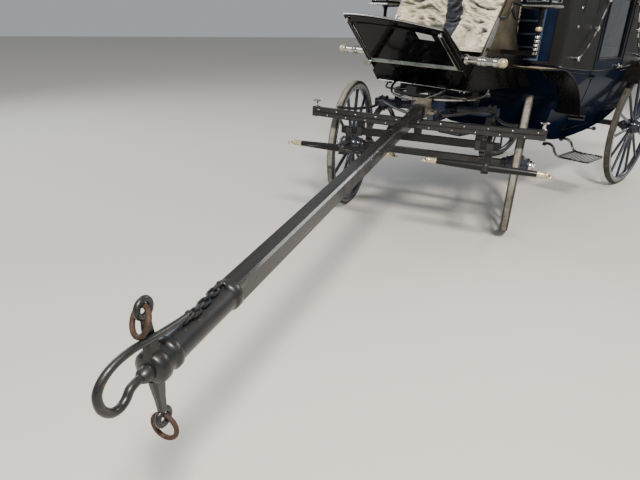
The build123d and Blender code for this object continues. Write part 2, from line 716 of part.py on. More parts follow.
# hangers for the swingletrees, each a bent strap with two lugs and an upright bolt
STRAP_Y = EVENER_Y - EVENER_T / 2
STRAP_TOP = EVENER_Z + EVENER_H - 6
LUG_END = TREE_Y - TREE_BOSS_R + 6
LUG_LOW = TREE_Z - TREE_BOSS_H / 2 - AIR
LUG_HIGH = TREE_Z + TREE_BOSS_H / 2 + AIR
with BuildPart() as hangers:
    for side in SIDES:
        with BuildSketch(cross(side * TREE_X - STRAP_W / 2, FORE)):
            with BuildLine():
                Polyline((STRAP_Y, STRAP_TOP), (STRAP_Y, LUG_LOW - STRAP_T), (LUG_END, LUG_LOW - STRAP_T),
                         (LUG_END, LUG_LOW), (STRAP_Y - STRAP_T, LUG_LOW), (STRAP_Y - STRAP_T, LUG_HIGH),
                         (LUG_END, LUG_HIGH), (LUG_END, LUG_HIGH + STRAP_T), (STRAP_Y - STRAP_T, LUG_HIGH + STRAP_T),
                         (STRAP_Y - STRAP_T, STRAP_TOP), (STRAP_Y, STRAP_TOP))
            make_face()
        extrude(amount=STRAP_W)
        with BuildSketch(level(LUG_LOW - STRAP_T - 4, FORE)):
            with Locations((side * TREE_X, TREE_Y)):
                Circle(PIN_R)
        extrude(amount=LUG_HIGH - LUG_LOW + 2 * STRAP_T + 8)
hangers.part.label = "swingletree_hangers"
export_step(hangers.part, "parts/swingletree_hangers.step")

Tree = namedtuple("Tree", "name x")
for t in (Tree("swingletree_near", TREE_X), Tree("swingletree_off", -TREE_X)):
    hook_x = TREE_HALF - TREE_TIP_R - 1
    with BuildPart() as tree:
        middle = plane((t.x, TREE_Y, TREE_Z), (1, 0, 0), (0, 1, 0), FORE)
        for x, radius in ((-TREE_HALF, TREE_TIP_R), (0, TREE_R), (TREE_HALF, TREE_TIP_R)):
            with BuildSketch(middle.offset(x)):
                RegularPolygon(radius, 12)
        loft(ruled=True)
        with BuildSketch(level(TREE_Z - TREE_BOSS_H / 2, FORE)):
            with Locations((t.x, TREE_Y)):
                RegularPolygon(TREE_BOSS_R, 12)
        extrude(amount=TREE_BOSS_H)
        # trace eyes at the ends
        with BuildSketch(level(TREE_Z - HOOK_HOLE_R / 2, FORE)):
            with Locations((t.x - hook_x, TREE_Y - HOOK_OUT), (t.x + hook_x, TREE_Y - HOOK_OUT)):
                RegularPolygon(HOOK_EYE_R, 12)
                RegularPolygon(HOOK_HOLE_R, 8, mode=Mode.SUBTRACT)
        extrude(amount=HOOK_HOLE_R)
        with BuildSketch(level(TREE_Z - TREE_BOSS_H / 2, FORE)):
            with Locations((t.x, TREE_Y)):
                Circle(PIN_R + FIT)
        extrude(amount=TREE_BOSS_H, mode=Mode.SUBTRACT)
    tree.part.label = t.name
    export_step(tree.part, "parts/" + t.name + ".step")

# Cabin below the belt: front and rear quarters, sill under the doors, floor
DOOR_FRONT = MID - HALF_DOOR
DOOR_REAR = MID + HALF_DOOR
Quarter = namedtuple("Quarter", "name y0 y1")
for q in (Quarter("front_body", BEFORE, DOOR_FRONT), Quarter("rear_body", DOOR_REAR, BEHIND)):
    with BuildPart() as lower:
        add(OUTER)
        add(INNER, mode=Mode.SUBTRACT)
        add(below_belt(q.y0, q.y1), mode=Mode.INTERSECT)
    lower.part.label = q.name
    export_step(lower.part, "parts/" + q.name + ".step")

with BuildPart() as sill:
    add(OUTER)
    add(INNER, mode=Mode.SUBTRACT)
    add(slab(DOOR_FRONT, DOOR_REAR, 0, FLOOR_Z), mode=Mode.INTERSECT)
sill.part.label = "sill"
export_step(sill.part, "parts/sill.step")

with BuildPart() as floor:
    add(INNER)
    add(slab(JOIN_Y - 20, 2 * MID - JOIN_Y + 20, FLOOR_Z - FLOOR_T, FLOOR_Z), mode=Mode.INTERSECT)
floor.part.label = "cabin_floor"
export_step(floor.part, "parts/cabin_floor.step")

# Leather head in two halves that meet over the doors, with the front window
Half = namedtuple("Half", "name y0 y1 door_y0 door_y1 quarter_y0 quarter_y1")
HALVES = (
    Half("head_front", BEFORE, MID - HEAD_GAP, DOOR_FRONT, MID, BEFORE, DOOR_FRONT),
    Half("head_rear", MID + HEAD_GAP, BEHIND, MID, DOOR_REAR, DOOR_REAR, BEHIND),
)
with BuildPart() as head_window:
    add(slab(BEFORE, FRONT_Y + 155, WINDOW_Z0, WINDOW_Z1, -WINDOW_X, WINDOW_X))
for h in HALVES:
    with BuildPart() as head:
        add(OUTER)
        add(INNER, mode=Mode.SUBTRACT)
        add(slab(h.y0, h.y1, SIDE_Z - 90, ROOF_Z + 20), mode=Mode.INTERSECT)
        add(slab(h.door_y0, h.door_y1, 0, HEADER_Z), mode=Mode.SUBTRACT)
        add(below_belt(h.quarter_y0, h.quarter_y1), mode=Mode.SUBTRACT)
        add(head_window.part, mode=Mode.SUBTRACT)
    head.part.label = h.name
    export_step(head.part, "parts/" + h.name + ".step")

with BuildPart() as front_glass:
    add(PANE_FACE)
    add(PANE_BACK, mode=Mode.SUBTRACT)
    add(head_window.part, mode=Mode.INTERSECT)
front_glass.part.label = "front_window_glass"
export_step(front_glass.part, "parts/front_window_glass.step")

# Door hinges: the line stands outside the body's side, so the lower hinge has the longer arms
SIDE_ARC = circle_through((KEEL_HALF, KEEL_Z), (BILGE_X, BILGE_Z), (HALF_W, SIDE_Z))
HINGE_X = HALF_W + HINGE_OUT
HINGE_Y = DOOR_FRONT + AIR / 2


def side_x(z):
    """Half width of the body at height z, on the arc of its curved lower side."""
    return SIDE_ARC[0] + math.sqrt(SIDE_ARC[2] ** 2 - (z - SIDE_ARC[1]) ** 2)


def hinge_arm(side, toward, z, z0, z1):
    """Flat hinge arm from the body's side to its knuckle; toward is -1 for the post and 1 for the door."""
    root = side_x(z) - 12
    with BuildPart() as arm:
        with BuildSketch(level(z + z0)):
            Polygon((side * root, HINGE_Y + toward * HINGE_REACH), (side * root, HINGE_Y + toward * 6),
                    (side * (HINGE_X - KNUCKLE_R + 2), HINGE_Y + toward * 5),
                    (side * HINGE_X, HINGE_Y + toward * (KNUCKLE_R - 1)), align=None)
            with Locations((side * HINGE_X, HINGE_Y)):
                RegularPolygon(KNUCKLE_R, 12)
        extrude(amount=z1 - z0)
    return arm.part


with BuildPart() as hinges:
    for side in SIDES:
        for z in HINGE_Z:
            add(hinge_arm(side, -1, z, KNUCKLE_H / 2 + 1, KNUCKLE_H / 2 + 13))
            add(hinge_arm(side, -1, z, -KNUCKLE_H / 2 - 13, -KNUCKLE_H / 2 - 1))
            with BuildSketch(level(z - KNUCKLE_H / 2 - 1)):
                with Locations((side * HINGE_X, HINGE_Y)):
                    Circle(HINGE_PIN_R)
            extrude(amount=KNUCKLE_H + 2)
    add(OUTER, mode=Mode.SUBTRACT)
hinges.part.label = "door_hinges"
export_step(hinges.part, "parts/door_hinges.step")

# Doors with their windows, a hinge knuckle on each arm, and a drop handle on its rose
HANDLE_Y = DOOR_REAR - 62
HANDLE_Z = SIDE_Z + 22
Door = namedtuple("Door", "name side x0 x1")
for d in (Door("near", 1, 0, SPAN), Door("off", -1, -SPAN, 0)):
    with BuildPart() as light:
        add(slab(DOOR_FRONT + LIGHT_Y, DOOR_REAR - LIGHT_Y, LIGHT_Z0, LIGHT_Z1, d.x0, d.x1))
    with BuildPart() as fittings:
        for z in HINGE_Z:
            add(hinge_arm(d.side, 1, z, -KNUCKLE_H / 2, KNUCKLE_H / 2))
        with BuildSketch(cross(d.side * (HALF_W - 10))):
            with Locations((HANDLE_Y, HANDLE_Z)):
                RegularPolygon(9, 8)
        extrude(amount=d.side * 38)
        with BuildSketch(cross(d.side * (HALF_W + 16))):
            with Locations((HANDLE_Y - 24, HANDLE_Z)):
                Rectangle(84, 13)
        extrude(amount=d.side * 12)
        add(OUTER, mode=Mode.SUBTRACT)
        for z in HINGE_Z:
            with BuildSketch(level(z - KNUCKLE_H / 2)):
                with Locations((d.side * HINGE_X, HINGE_Y)):
                    Circle(HINGE_PIN_R + FIT)
            extrude(amount=KNUCKLE_H, mode=Mode.SUBTRACT)
    with BuildPart() as door:
        add(OUTER)
        add(INNER, mode=Mode.SUBTRACT)
        add(slab(DOOR_FRONT + AIR, DOOR_REAR - AIR, FLOOR_Z + AIR, HEADER_Z - AIR, d.x0, d.x1), mode=Mode.INTERSECT)
        add(light.part, mode=Mode.SUBTRACT)
        add(fittings.part)
    door.part.label = "door_" + d.name
    export_step(door.part, "parts/door_" + d.name + ".step")
    with BuildPart() as pane:
        add(PANE_FACE)
        add(PANE_BACK, mode=Mode.SUBTRACT)
        add(light.part, mode=Mode.INTERSECT)
    pane.part.label = "door_glass_" + d.name
    export_step(pane.part, "parts/door_glass_" + d.name + ".step")

# Landau irons on the four quarters of the head: a curved lower limb, a knee and a straight upper limb
IRON_Z0 = BELT_END_Z + 34
IRON_KNEE_Z = IRON_Z0 + 219
IRON_Z1 = IRON_KNEE_Z + 215
IRON_IN = HALF_W - 42
with BuildPart() as irons:
    for side in SIDES:
        for end in ENDS:
            low = (MID + end * (HALF_DOOR + 406), IRON_Z0)
            knee = (MID + end * (HALF_DOOR + 161), IRON_KNEE_Z)
            high = (MID + end * (HALF_DOOR + 36), IRON_Z1)
            bow = ((low[0] + knee[0]) / 2 - 24 * end, (low[1] + knee[1]) / 2 - 8)
            with BuildSketch(cross(side * (HALF_W + 6))):
                with BuildLine():
                    ThreePointArc(low, bow, knee)
                    Line(knee, high)
                trace(line_width=IRON_W)
                with Locations(knee):
                    RegularPolygon(IRON_W + 3, 8)
            extrude(amount=side * IRON_T)
            with BuildSketch(cross(side * IRON_IN)):
                with Locations(low, high):
                    RegularPolygon(IRON_W + 4, 8)
            extrude(amount=side * (HALF_W + 28 - IRON_IN))
    add(OUTER, mode=Mode.SUBTRACT)
irons.part.label = "landau_irons"
export_step(irons.part, "parts/landau_irons.step")

# Cabin seats, face to face
SEAT_FRONT = NOSE_Y + SEAT_D - FRONT_Y


def from_end(end, depth0, depth1, z0, z1):
    """Slab across the cabin between two distances from its front or rear face."""
    a = MID + end * (MID - FRONT_Y - depth0)
    b = MID + end * (MID - FRONT_Y - depth1)
    return slab(min(a, b), max(a, b), z0, z1)


with BuildPart() as benches:
    for end in ENDS:
        add(from_end(end, 0, SEAT_FRONT, FLOOR_Z, SEAT_Z))
    add(INNER, mode=Mode.INTERSECT)
benches.part.label = "cabin_benches"
export_step(benches.part, "parts/cabin_benches.step")

with BuildPart() as cushions:
    for end in ENDS:
        add(from_end(end, WALL, SEAT_FRONT, SEAT_Z + SOFT, SEAT_Z + CUSHION_T))
    add(SOFT_FORM, mode=Mode.INTERSECT)
cushions.part.label = "cabin_cushions"
export_step(cushions.part, "parts/cabin_cushions.step")

with BuildPart() as rests:
    for end in ENDS:
        add(from_end(end, 0, WALL + BACKREST_T, SEAT_Z + CUSHION_T + SOFT, WINDOW_Z0 - 10))
    add(SOFT_FORM, mode=Mode.INTERSECT)
rests.part.label = "cabin_backrests"
export_step(rests.part, "parts/cabin_backrests.step")

# Driver's box: boot, cheek panels, bench and its canvas cover
HEEL_Y = BENCH_Y0 - 30
with BuildPart() as boot:
    with BuildSketch(cross(-BOX_X)):
        with BuildLine():
            Polyline((TOE_Y, BOX_BOTTOM), (BOX_REAR_Y, BOX_BOTTOM), (BOX_REAR_Y, BOX_TOP), (HEEL_Y + 20, BOX_TOP),
                     (HEEL_Y, BOX_BOTTOM + 24), (TOE_Y, BOX_BOTTOM + 24), (TOE_Y, BOX_BOTTOM))
        make_face()
    extrude(amount=2 * BOX_X)
    add(OUTER, mode=Mode.SUBTRACT)
boot.part.label = "boot"
export_step(boot.part, "parts/boot.step")

CHEEK_BACK_Y = CHEEK_TOP_Y + CHEEK_W
with BuildPart() as cheeks:
    for side in SIDES:
        with BuildSketch(cross(side * BOX_X)):
            with BuildLine():
                Polyline((TOE_Y, BOX_BOTTOM), (BOX_REAR_Y, BOX_BOTTOM), (FRONT_Y, BELT_END_Z - 6))
                ThreePointArc((FRONT_Y, BELT_END_Z - 6), (CHEEK_BACK_Y + 60, BELT_END_Z + 138),
                              (CHEEK_BACK_Y, CHEEK_TOP - 85))
                Polyline((CHEEK_BACK_Y, CHEEK_TOP - 85), (CHEEK_BACK_Y, CHEEK_TOP), (CHEEK_TOP_Y, CHEEK_TOP),
                         (TOE_Y + 45, TUBE_Z - 5), (TOE_Y - 60, BOX_BOTTOM + 70), (TOE_Y, BOX_BOTTOM))
            make_face()
        extrude(amount=side * CHEEK_T)
    add(OUTER, mode=Mode.SUBTRACT)
cheeks.part.label = "box_side_panels"
export_step(cheeks.part, "parts/box_side_panels.step")


def canvas_outline(out, foot):
    """Side outline of the canvas drawn straight from the backboard's top to the bench's foot, grown by out."""
    return ((BENCH_Y0 - 18 - out, foot), (BACK_Y - out, BACK_TOP + out), (BACK_Y + BACK_T + out, BACK_TOP + out),
            (BENCH_Y1 + out, foot), (BENCH_Y0 - 18 - out, foot))


with BuildPart() as box_seat:
    with BuildSketch(cross(-BENCH_HALF)):
        with BuildLine():
            Polyline((BENCH_Y0, BOX_TOP), (BENCH_Y0 + 95, BENCH_Z - 8), (BENCH_Y0 + 115, BENCH_Z),
                     (BACK_Y - 50, BENCH_Z + 10), (BACK_Y + 12, BACK_TOP), (BACK_Y + BACK_T, BACK_TOP),
                     (BENCH_Y1, BOX_TOP), (BENCH_Y0, BOX_TOP))
        make_face()
    extrude(amount=2 * BENCH_HALF)
box_seat.part.label = "box_seat"
export_step(box_seat.part, "parts/box_seat.step")

with BuildPart() as cover:
    with BuildSketch(cross(-BENCH_HALF - COVER_T)):
        with BuildLine():
            Polyline(*canvas_outline(COVER_T, BOX_TOP + SOFT))
        make_face()
    extrude(amount=2 * (BENCH_HALF + COVER_T))
    with BuildSketch(cross(-BENCH_HALF - SOFT)):
        with BuildLine():
            Polyline(*canvas_outline(SOFT, BOX_TOP))
        make_face()
    extrude(amount=2 * (BENCH_HALF + SOFT), mode=Mode.SUBTRACT)
cover.part.label = "seat_cover"
export_step(cover.part, "parts/seat_cover.step")

# Dash: a leaning panel with a crowned top and returned edges, lugged for the cross tube
DASH_LEAN = math.atan2(DASH_TOP_Z - DASH_LOW_Z, DASH_LOW_Y - DASH_TOP_Y)
DASH_SIDE = (PANEL_T * math.sin(DASH_LEAN), PANEL_T * math.cos(DASH_LEAN))
DASH_L = math.hypot(DASH_TOP_Z - DASH_LOW_Z, DASH_LOW_Y - DASH_TOP_Y)
DASH_UP = (0, -math.cos(DASH_LEAN), math.sin(DASH_LEAN))
HEEL = (DASH_LOW_Y + 35, DASH_LOW_Z + 36)
LIP = (DASH_LOW_Y - 20, DASH_LOW_Z + 20)
with BuildPart() as dash:
    with BuildSketch(plane((0, DASH_LOW_Y, DASH_LOW_Z), (0, -DASH_UP[2], DASH_UP[1]), (1, 0, 0))):
        with BuildLine():
            Polyline((-DASH_HALF, DASH_L - DASH_CROWN), (-DASH_HALF, 0), (DASH_HALF, 0),
                     (DASH_HALF, DASH_L - DASH_CROWN))
            ThreePointArc((DASH_HALF, DASH_L - DASH_CROWN), (0, DASH_L), (-DASH_HALF, DASH_L - DASH_CROWN))
        make_face()
    extrude(amount=-PANEL_T)
    for side in SIDES:
        top = (DASH_TOP_Y + DASH_CROWN * math.cos(DASH_LEAN), DASH_TOP_Z - DASH_CROWN * math.sin(DASH_LEAN))
        with BuildSketch(cross(side * (DASH_HALF - RETURN_T))):
            with BuildLine():
                Polyline((DASH_LOW_Y, DASH_LOW_Z), top, (top[0] + 24, top[1] + 22), HEEL, (DASH_LOW_Y, DASH_LOW_Z))
            make_face()
        extrude(amount=side * RETURN_T)
        with BuildSketch(cross(side * DASH_HALF)):
            with BuildLine():
                Polyline(LIP, (TUBE_Y - 34, TUBE_Z + 8), (TUBE_Y - 20, TUBE_Z + 34), (TUBE_Y + 20, TUBE_Z + 34),
                         (TUBE_Y + 36, TUBE_Z), HEEL, LIP)
            make_face()
        extrude(amount=side * RETURN_T)
    with BuildSketch(cross(-SPAN)):
        with Locations((TUBE_Y, TUBE_Z)):
            RegularPolygon(TUBE_R, 16)
    extrude(amount=2 * SPAN, mode=Mode.SUBTRACT)
dash.part.label = "dash"
export_step(dash.part, "parts/dash.step")

TOE_LEAN = math.atan2(DASH_LOW_Z - TOE_Z, TOE_Y - DASH_LOW_Y)
TOE_SIDE = (PANEL_T * math.sin(TOE_LEAN), PANEL_T * math.cos(TOE_LEAN))
with BuildPart() as toe:
    with BuildSketch(cross(-BOX_X)):
        with BuildLine():
            Polyline((TOE_Y, TOE_Z), (DASH_LOW_Y, DASH_LOW_Z), (DASH_LOW_Y + TOE_SIDE[0], DASH_LOW_Z + TOE_SIDE[1]),
                     (TOE_Y + TOE_SIDE[0], TOE_Z + TOE_SIDE[1]), (TOE_Y, TOE_Z))
        make_face()
    extrude(amount=2 * BOX_X)
    add(boot.part, mode=Mode.SUBTRACT)
    add(dash.part, mode=Mode.SUBTRACT)
    add(cheeks.part, mode=Mode.SUBTRACT)
toe.part.label = "toe_board"
export_step(toe.part, "parts/toe_board.step")

with BuildPart() as tube:
    with BuildSketch(cross(-TUBE_HALF)):
        with Locations((TUBE_Y, TUBE_Z)):
            RegularPolygon(TUBE_R, 16)
    extrude(amount=2 * TUBE_HALF)
    # two collars near each end
    for side in SIDES:
        for inset in (70, 150):
            with BuildSketch(cross(side * (TUBE_HALF - inset) - 8)):
                with Locations((TUBE_Y, TUBE_Z)):
                    RegularPolygon(TUBE_R + 6, 16)
            extrude(amount=16)
tube.part.label = "cross_tube"
export_step(tube.part, "parts/cross_tube.step")

# Wings: flat sheets that sweep down behind the front wheels and round over the rear ones
WING_BEND_Y = 330
WING_SAG = (625, 1125)
with BuildPart() as front_wings:
    for side in SIDES:
        with BuildSketch(cross(side * WING_X0)):
            with BuildLine():
                Line((WING_FRONT_Y, WING_Z), (WING_BEND_Y, WING_Z - 14))
                ThreePointArc((WING_BEND_Y, WING_Z - 14), WING_SAG, (WING_TAIL_Y, WING_TAIL_Z))
                Line((WING_TAIL_Y, WING_TAIL_Z), (WING_TAIL_Y - WING_T, WING_TAIL_Z - 3))
                ThreePointArc((WING_TAIL_Y - WING_T, WING_TAIL_Z - 3), (WING_SAG[0] - 4, WING_SAG[1] - 4),
                              (WING_BEND_Y, WING_Z - 14 - WING_T))
                Polyline((WING_BEND_Y, WING_Z - 14 - WING_T), (WING_FRONT_Y, WING_Z - WING_T), (WING_FRONT_Y, WING_Z))
            make_face()
        extrude(amount=side * (WING_X1 - WING_X0))
        # flat stays from the box to the wing's outer edge
        for stay_y, stay_z in ((40, WING_Z - 12), (300, WING_Z - 22)):
            with BuildSketch(cross(side * (BOX_X + CHEEK_T))):
                with Locations((stay_y, stay_z)):
                    Rectangle(STAY_W, STAY_T)
            extrude(amount=side * (WING_X1 - 20 - BOX_X - CHEEK_T))
    add(OUTER, mode=Mode.SUBTRACT)
front_wings.part.label = "front_wings"
export_step(front_wings.part, "parts/front_wings.step")


def rim(radius, angle):
    """A point round the rear axle, the angle measured up from straight ahead."""
    turn = math.radians(angle)
    return (WHEELBASE - radius * math.cos(turn), REAR_DIA / 2 + radius * math.sin(turn))


WING_UNDER = REAR_WING_R - WING_T
with BuildPart() as rear_wings:
    for side in SIDES:
        with BuildSketch(cross(side * WING_X0)):
            with BuildLine():
                ThreePointArc(rim(REAR_WING_R, 42), rim(REAR_WING_R, 95), rim(REAR_WING_R, 150))
                Line(rim(REAR_WING_R, 150), rim(WING_UNDER, 150))
                ThreePointArc(rim(WING_UNDER, 150), rim(WING_UNDER, 95), rim(WING_UNDER, 42))
                Line(rim(WING_UNDER, 42), rim(REAR_WING_R, 42))
            make_face()
        extrude(amount=side * (WING_X1 - WING_X0))
    add(OUTER, mode=Mode.SUBTRACT)
rear_wings.part.label = "rear_wings"
export_step(rear_wings.part, "parts/rear_wings.step")

# Lamps: a square lantern with four lights and a chimney, on a stem from the box
LAMP_MID = (LAMP_Z0 + LAMP_Z1) / 2
LIGHT_W = LAMP_W - 40
LIGHT_H = LAMP_Z1 - LAMP_Z0 - 60
STEM_Z = BOX_TOP
with BuildPart() as lamps:
    for side in SIDES:
        with BuildSketch(level(STEM_Z)):
            with Locations((side * LAMP_X, LAMP_Y)):
                RegularPolygon(LAMP_STEM_R, 12)
        extrude(amount=LAMP_Z0 - STEM_Z)
        with BuildSketch(level(LAMP_Z0)):
            with Locations((side * LAMP_X, LAMP_Y)):
                Rectangle(LAMP_W, LAMP_W)
        extrude(amount=LAMP_Z1 - LAMP_Z0)
        with BuildSketch(level(LAMP_Z0 + 20)):
            with Locations((side * LAMP_X, LAMP_Y)):
                Rectangle(LAMP_W - 2 * LAMP_WALL, LAMP_W - 2 * LAMP_WALL)
        extrude(amount=LAMP_Z1 - LAMP_Z0 - 40, mode=Mode.SUBTRACT)
        with BuildSketch(facing(LAMP_Y + LAMP_W)):
            with Locations((side * LAMP_X, LAMP_MID)):
                Rectangle(LIGHT_W, LIGHT_H)
        extrude(amount=2 * LAMP_W, mode=Mode.SUBTRACT)
        with BuildSketch(cross(side * (LAMP_X - LAMP_W))):
            with Locations((LAMP_Y, LAMP_MID)):
                Rectangle(LIGHT_W, LIGHT_H)
        extrude(amount=side * 2 * LAMP_W, mode=Mode.SUBTRACT)
        # chimney
        with BuildSketch(level(LAMP_Z1)):
            with Locations((side * LAMP_X, LAMP_Y)):
                Rectangle(LAMP_W - 30, LAMP_W - 30)
        extrude(amount=40, taper=30)
        with BuildSketch(level(LAMP_Z1 + 40)):
            with Locations((side * LAMP_X, LAMP_Y)):
                RegularPolygon(34, 12)
        extrude(amount=50)
        # bracket to the box
        with BuildSketch(cross(side * (BOX_X + CHEEK_T))):
            with Locations((LAMP_Y, STEM_Z + 15)):
                Rectangle(30, 30)
        extrude(amount=side * (LAMP_X + 15 - BOX_X - CHEEK_T))
lamps.part.label = "lamps"
export_step(lamps.part, "parts/lamps.step")

with BuildPart() as lamp_glass:
    for side in SIDES:
        with BuildSketch(level(LAMP_Z0 + 20)):
            with Locations((side * LAMP_X, LAMP_Y)):
                Rectangle(LAMP_W - 2 * LAMP_WALL, LAMP_W - 2 * LAMP_WALL)
                Rectangle(LAMP_W - 2 * LAMP_WALL - 8, LAMP_W - 2 * LAMP_WALL - 8, mode=Mode.SUBTRACT)
        extrude(amount=LAMP_Z1 - LAMP_Z0 - 40)
lamp_glass.part.label = "lamp_glass"
export_step(lamp_glass.part, "parts/lamp_glass.step")

# Steps: a slatted tread on two cranked hangers from the sill
STEP_X = (STEP_X0 + STEP_X1) / 2
STEP_Y = (STEP_Y0 + STEP_Y1) / 2
STEP_W = STEP_X1 - STEP_X0
STEP_L = STEP_Y1 - STEP_Y0
HANGER_W = 18
HANGER_X = STEP_X0 - 140      # their roots under the floor
SLAT_PITCH = (STEP_L - 80) / (SLATS - 1)
with BuildPart() as steps:
    for side in SIDES:
        with BuildSketch(level(STEP_Z)):
            with Locations((side * STEP_X, STEP_Y)):
                Rectangle(STEP_W, STEP_L)
                Rectangle(STEP_W - 2 * HANGER_W, STEP_L - 2 * HANGER_W, mode=Mode.SUBTRACT)
                with GridLocations(0, SLAT_PITCH, 1, SLATS):
                    Rectangle(STEP_W - 10, 10)
        extrude(amount=STEP_T)
        for hanger_y in (STEP_Y0 + HANGER_W, STEP_Y1):
            with BuildSketch(facing(hanger_y)):
                with BuildLine():
                    Polyline((side * HANGER_X, BOTTOM_Z - 26), (side * (HANGER_X + 72), BOTTOM_Z - 34),
                             (side * (STEP_X0 - 15), STEP_Z + STEP_T), (side * (STEP_X0 - 15), STEP_Z),
                             (side * (STEP_X0 + 40), STEP_Z), (side * (STEP_X0 + 40), STEP_Z + STEP_T),
                             (side * (STEP_X0 + 5), STEP_Z + STEP_T + 6), (side * (HANGER_X + 90), BOTTOM_Z - 18),
                             (side * (HANGER_X + 60), BOTTOM_Z + 10), (side * HANGER_X, BOTTOM_Z + 10),
                             (side * HANGER_X, BOTTOM_Z - 26))
                make_face()
            extrude(amount=HANGER_W)
    add(OUTER, mode=Mode.SUBTRACT)
steps.part.label = "steps"
export_step(steps.part, "parts/steps.step")

# Rear frame: two irons from the cabin's tail over the spring, with a cross bar
with BuildPart() as rear_frame:
    with BuildSketch(level(TAIL_Z)):
        with Locations((-TAIL_X, WHEELBASE), (TAIL_X, WHEELBASE)):
            Rectangle(46, 2 * TAIL_REACH)
        with Locations((0, WHEELBASE)):
            Rectangle(2 * TAIL_X, 60)
    extrude(amount=40)
    add(OUTER, mode=Mode.SUBTRACT)
rear_frame.part.label = "rear_frame"
export_step(rear_frame.part, "parts/rear_frame.step")
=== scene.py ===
import math
import bmesh
import bpy
from mathutils import Matrix, Vector, noise
from mathutils.bvhtree import BVHTree


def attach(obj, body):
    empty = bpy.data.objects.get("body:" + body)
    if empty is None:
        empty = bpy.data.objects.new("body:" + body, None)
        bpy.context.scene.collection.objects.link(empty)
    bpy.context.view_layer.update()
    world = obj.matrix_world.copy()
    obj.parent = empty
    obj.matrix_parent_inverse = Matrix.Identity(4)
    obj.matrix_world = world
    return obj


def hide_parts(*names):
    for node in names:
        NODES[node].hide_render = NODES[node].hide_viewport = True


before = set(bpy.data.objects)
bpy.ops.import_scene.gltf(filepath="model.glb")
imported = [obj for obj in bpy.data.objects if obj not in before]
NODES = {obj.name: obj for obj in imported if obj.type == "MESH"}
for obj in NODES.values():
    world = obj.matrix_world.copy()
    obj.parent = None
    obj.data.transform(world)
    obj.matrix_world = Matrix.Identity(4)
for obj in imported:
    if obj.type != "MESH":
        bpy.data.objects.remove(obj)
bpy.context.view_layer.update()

X, Y, Z = Vector((1, 0, 0)), Vector((0, 1, 0)), Vector((0, 0, 1))
SIDES = (1, -1)
# the part's own zero, seen from the king bolt, and the lock that the fore-carriage is parked at
ORIGIN = Vector((330.15, -78.55, 0.0))
STEER = math.radians(24.7)
BODY = Matrix.Scale(0.001, 4) @ Matrix.Translation(-ORIGIN)
FORE = BODY @ Matrix.Rotation(STEER, 4, "Z")
# the pole's own line, from its socket to its tip
POLE_REAR, POLE_TIP = Vector((0, -430, 972)), Vector((0, -3417, 745))
POLE = (POLE_TIP - POLE_REAR).normalized()
POLE_UP = POLE.cross(X)
POLE_LENGTH = (POLE_TIP - POLE_REAR).length
REAR_Y = 2505


def home(body):
    """What rides on the fore-carriage is drawn straight ahead and turned by its lock."""
    return FORE if body.startswith(("fore", "wheel_front", "swingletree")) else BODY


def sight(code):
    """sRGB hex colour as linear red, green, blue and alpha."""
    parts = [int(code[i:i + 2], 16) / 255 for i in (1, 3, 5)]
    return [c / 12.92 if c <= 0.04045 else ((c + 0.055) / 1.055) ** 2.4 for c in parts] + [1.0]


def add(tree, kind, inputs=None, **settings):
    """Adds a node with its settings, plain values and links."""
    made = tree.nodes.new(kind)
    for key, value in settings.items():
        setattr(made, key, value)
    for key, value in (inputs or {}).items():
        if isinstance(value, bpy.types.NodeSocket):
            tree.links.new(value, made.inputs[key])
        else:
            made.inputs[key].default_value = value
    return made


def blank(name):
    """A material with an empty tree, and where on the piece a point lies."""
    made = bpy.data.materials.new(name)
    made.use_nodes = True
    made.node_tree.nodes.clear()
    return made, made.node_tree, add(made.node_tree, "ShaderNodeTexCoord").outputs["Object"]


def ramp(tree, factor, low, high, start=0.35, end=0.65):
    """Colour between two sRGB tones, or a grey between two numbers, along a factor."""
    made = add(tree, "ShaderNodeValToRGB", {"Fac": factor})
    tones = [sight(t) if isinstance(t, str) else (t, t, t, 1.0) for t in (low, high)]
    for stop, tone, place in zip(made.color_ramp.elements, tones, (start, end)):
        stop.color = tone
        stop.position = place
    return made.outputs["Color"]


def mixed(tree, share, a, b):
    return add(tree, "ShaderNodeMix", {"Factor": share, "A": a, "B": b}, data_type="RGBA").outputs["Result"]


def clouds(tree, where, scale, detail, rough=0.5, **more):
    """Noise of so many blotches a metre."""
    inputs = {"Vector": where, "Scale": scale, "Detail": detail, "Roughness": rough, **more}
    return add(tree, "ShaderNodeTexNoise", inputs).outputs["Fac"]


def worked(tree, operation, *values):
    return add(tree, "ShaderNodeMath", dict(enumerate(values)), operation=operation).outputs["Value"]


def part_of(tree, vector, axis):
    return add(tree, "ShaderNodeSeparateXYZ", {"Vector": vector}).outputs[axis]


def spread(tree, value, low, high, least=0.0, most=1.0):
    """The share of a value between two others, as a number from least to most."""
    ends = {"Value": value, "From Min": low, "From Max": high, "To Min": least, "To Max": most}
    return add(tree, "ShaderNodeMapRange", ends).outputs["Result"]


def relief(tree, height, depth, strength, **under):
    """A bump so many millimetres deep, over another one where it is given."""
    inputs = {"Height": height, "Distance": depth / 1000, "Strength": strength, **under}
    return add(tree, "ShaderNodeBump", inputs).outputs["Normal"]


def surfaced(tree, **inputs):
    """The shader with its inputs, whose names are written with underlines, and the material's output."""
    inputs = {key.replace("_", " "): value for key, value in inputs.items()}
    shader = add(tree, "ShaderNodeBsdfPrincipled", inputs)
    add(tree, "ShaderNodeOutputMaterial", {"Surface": shader.outputs["BSDF"]})


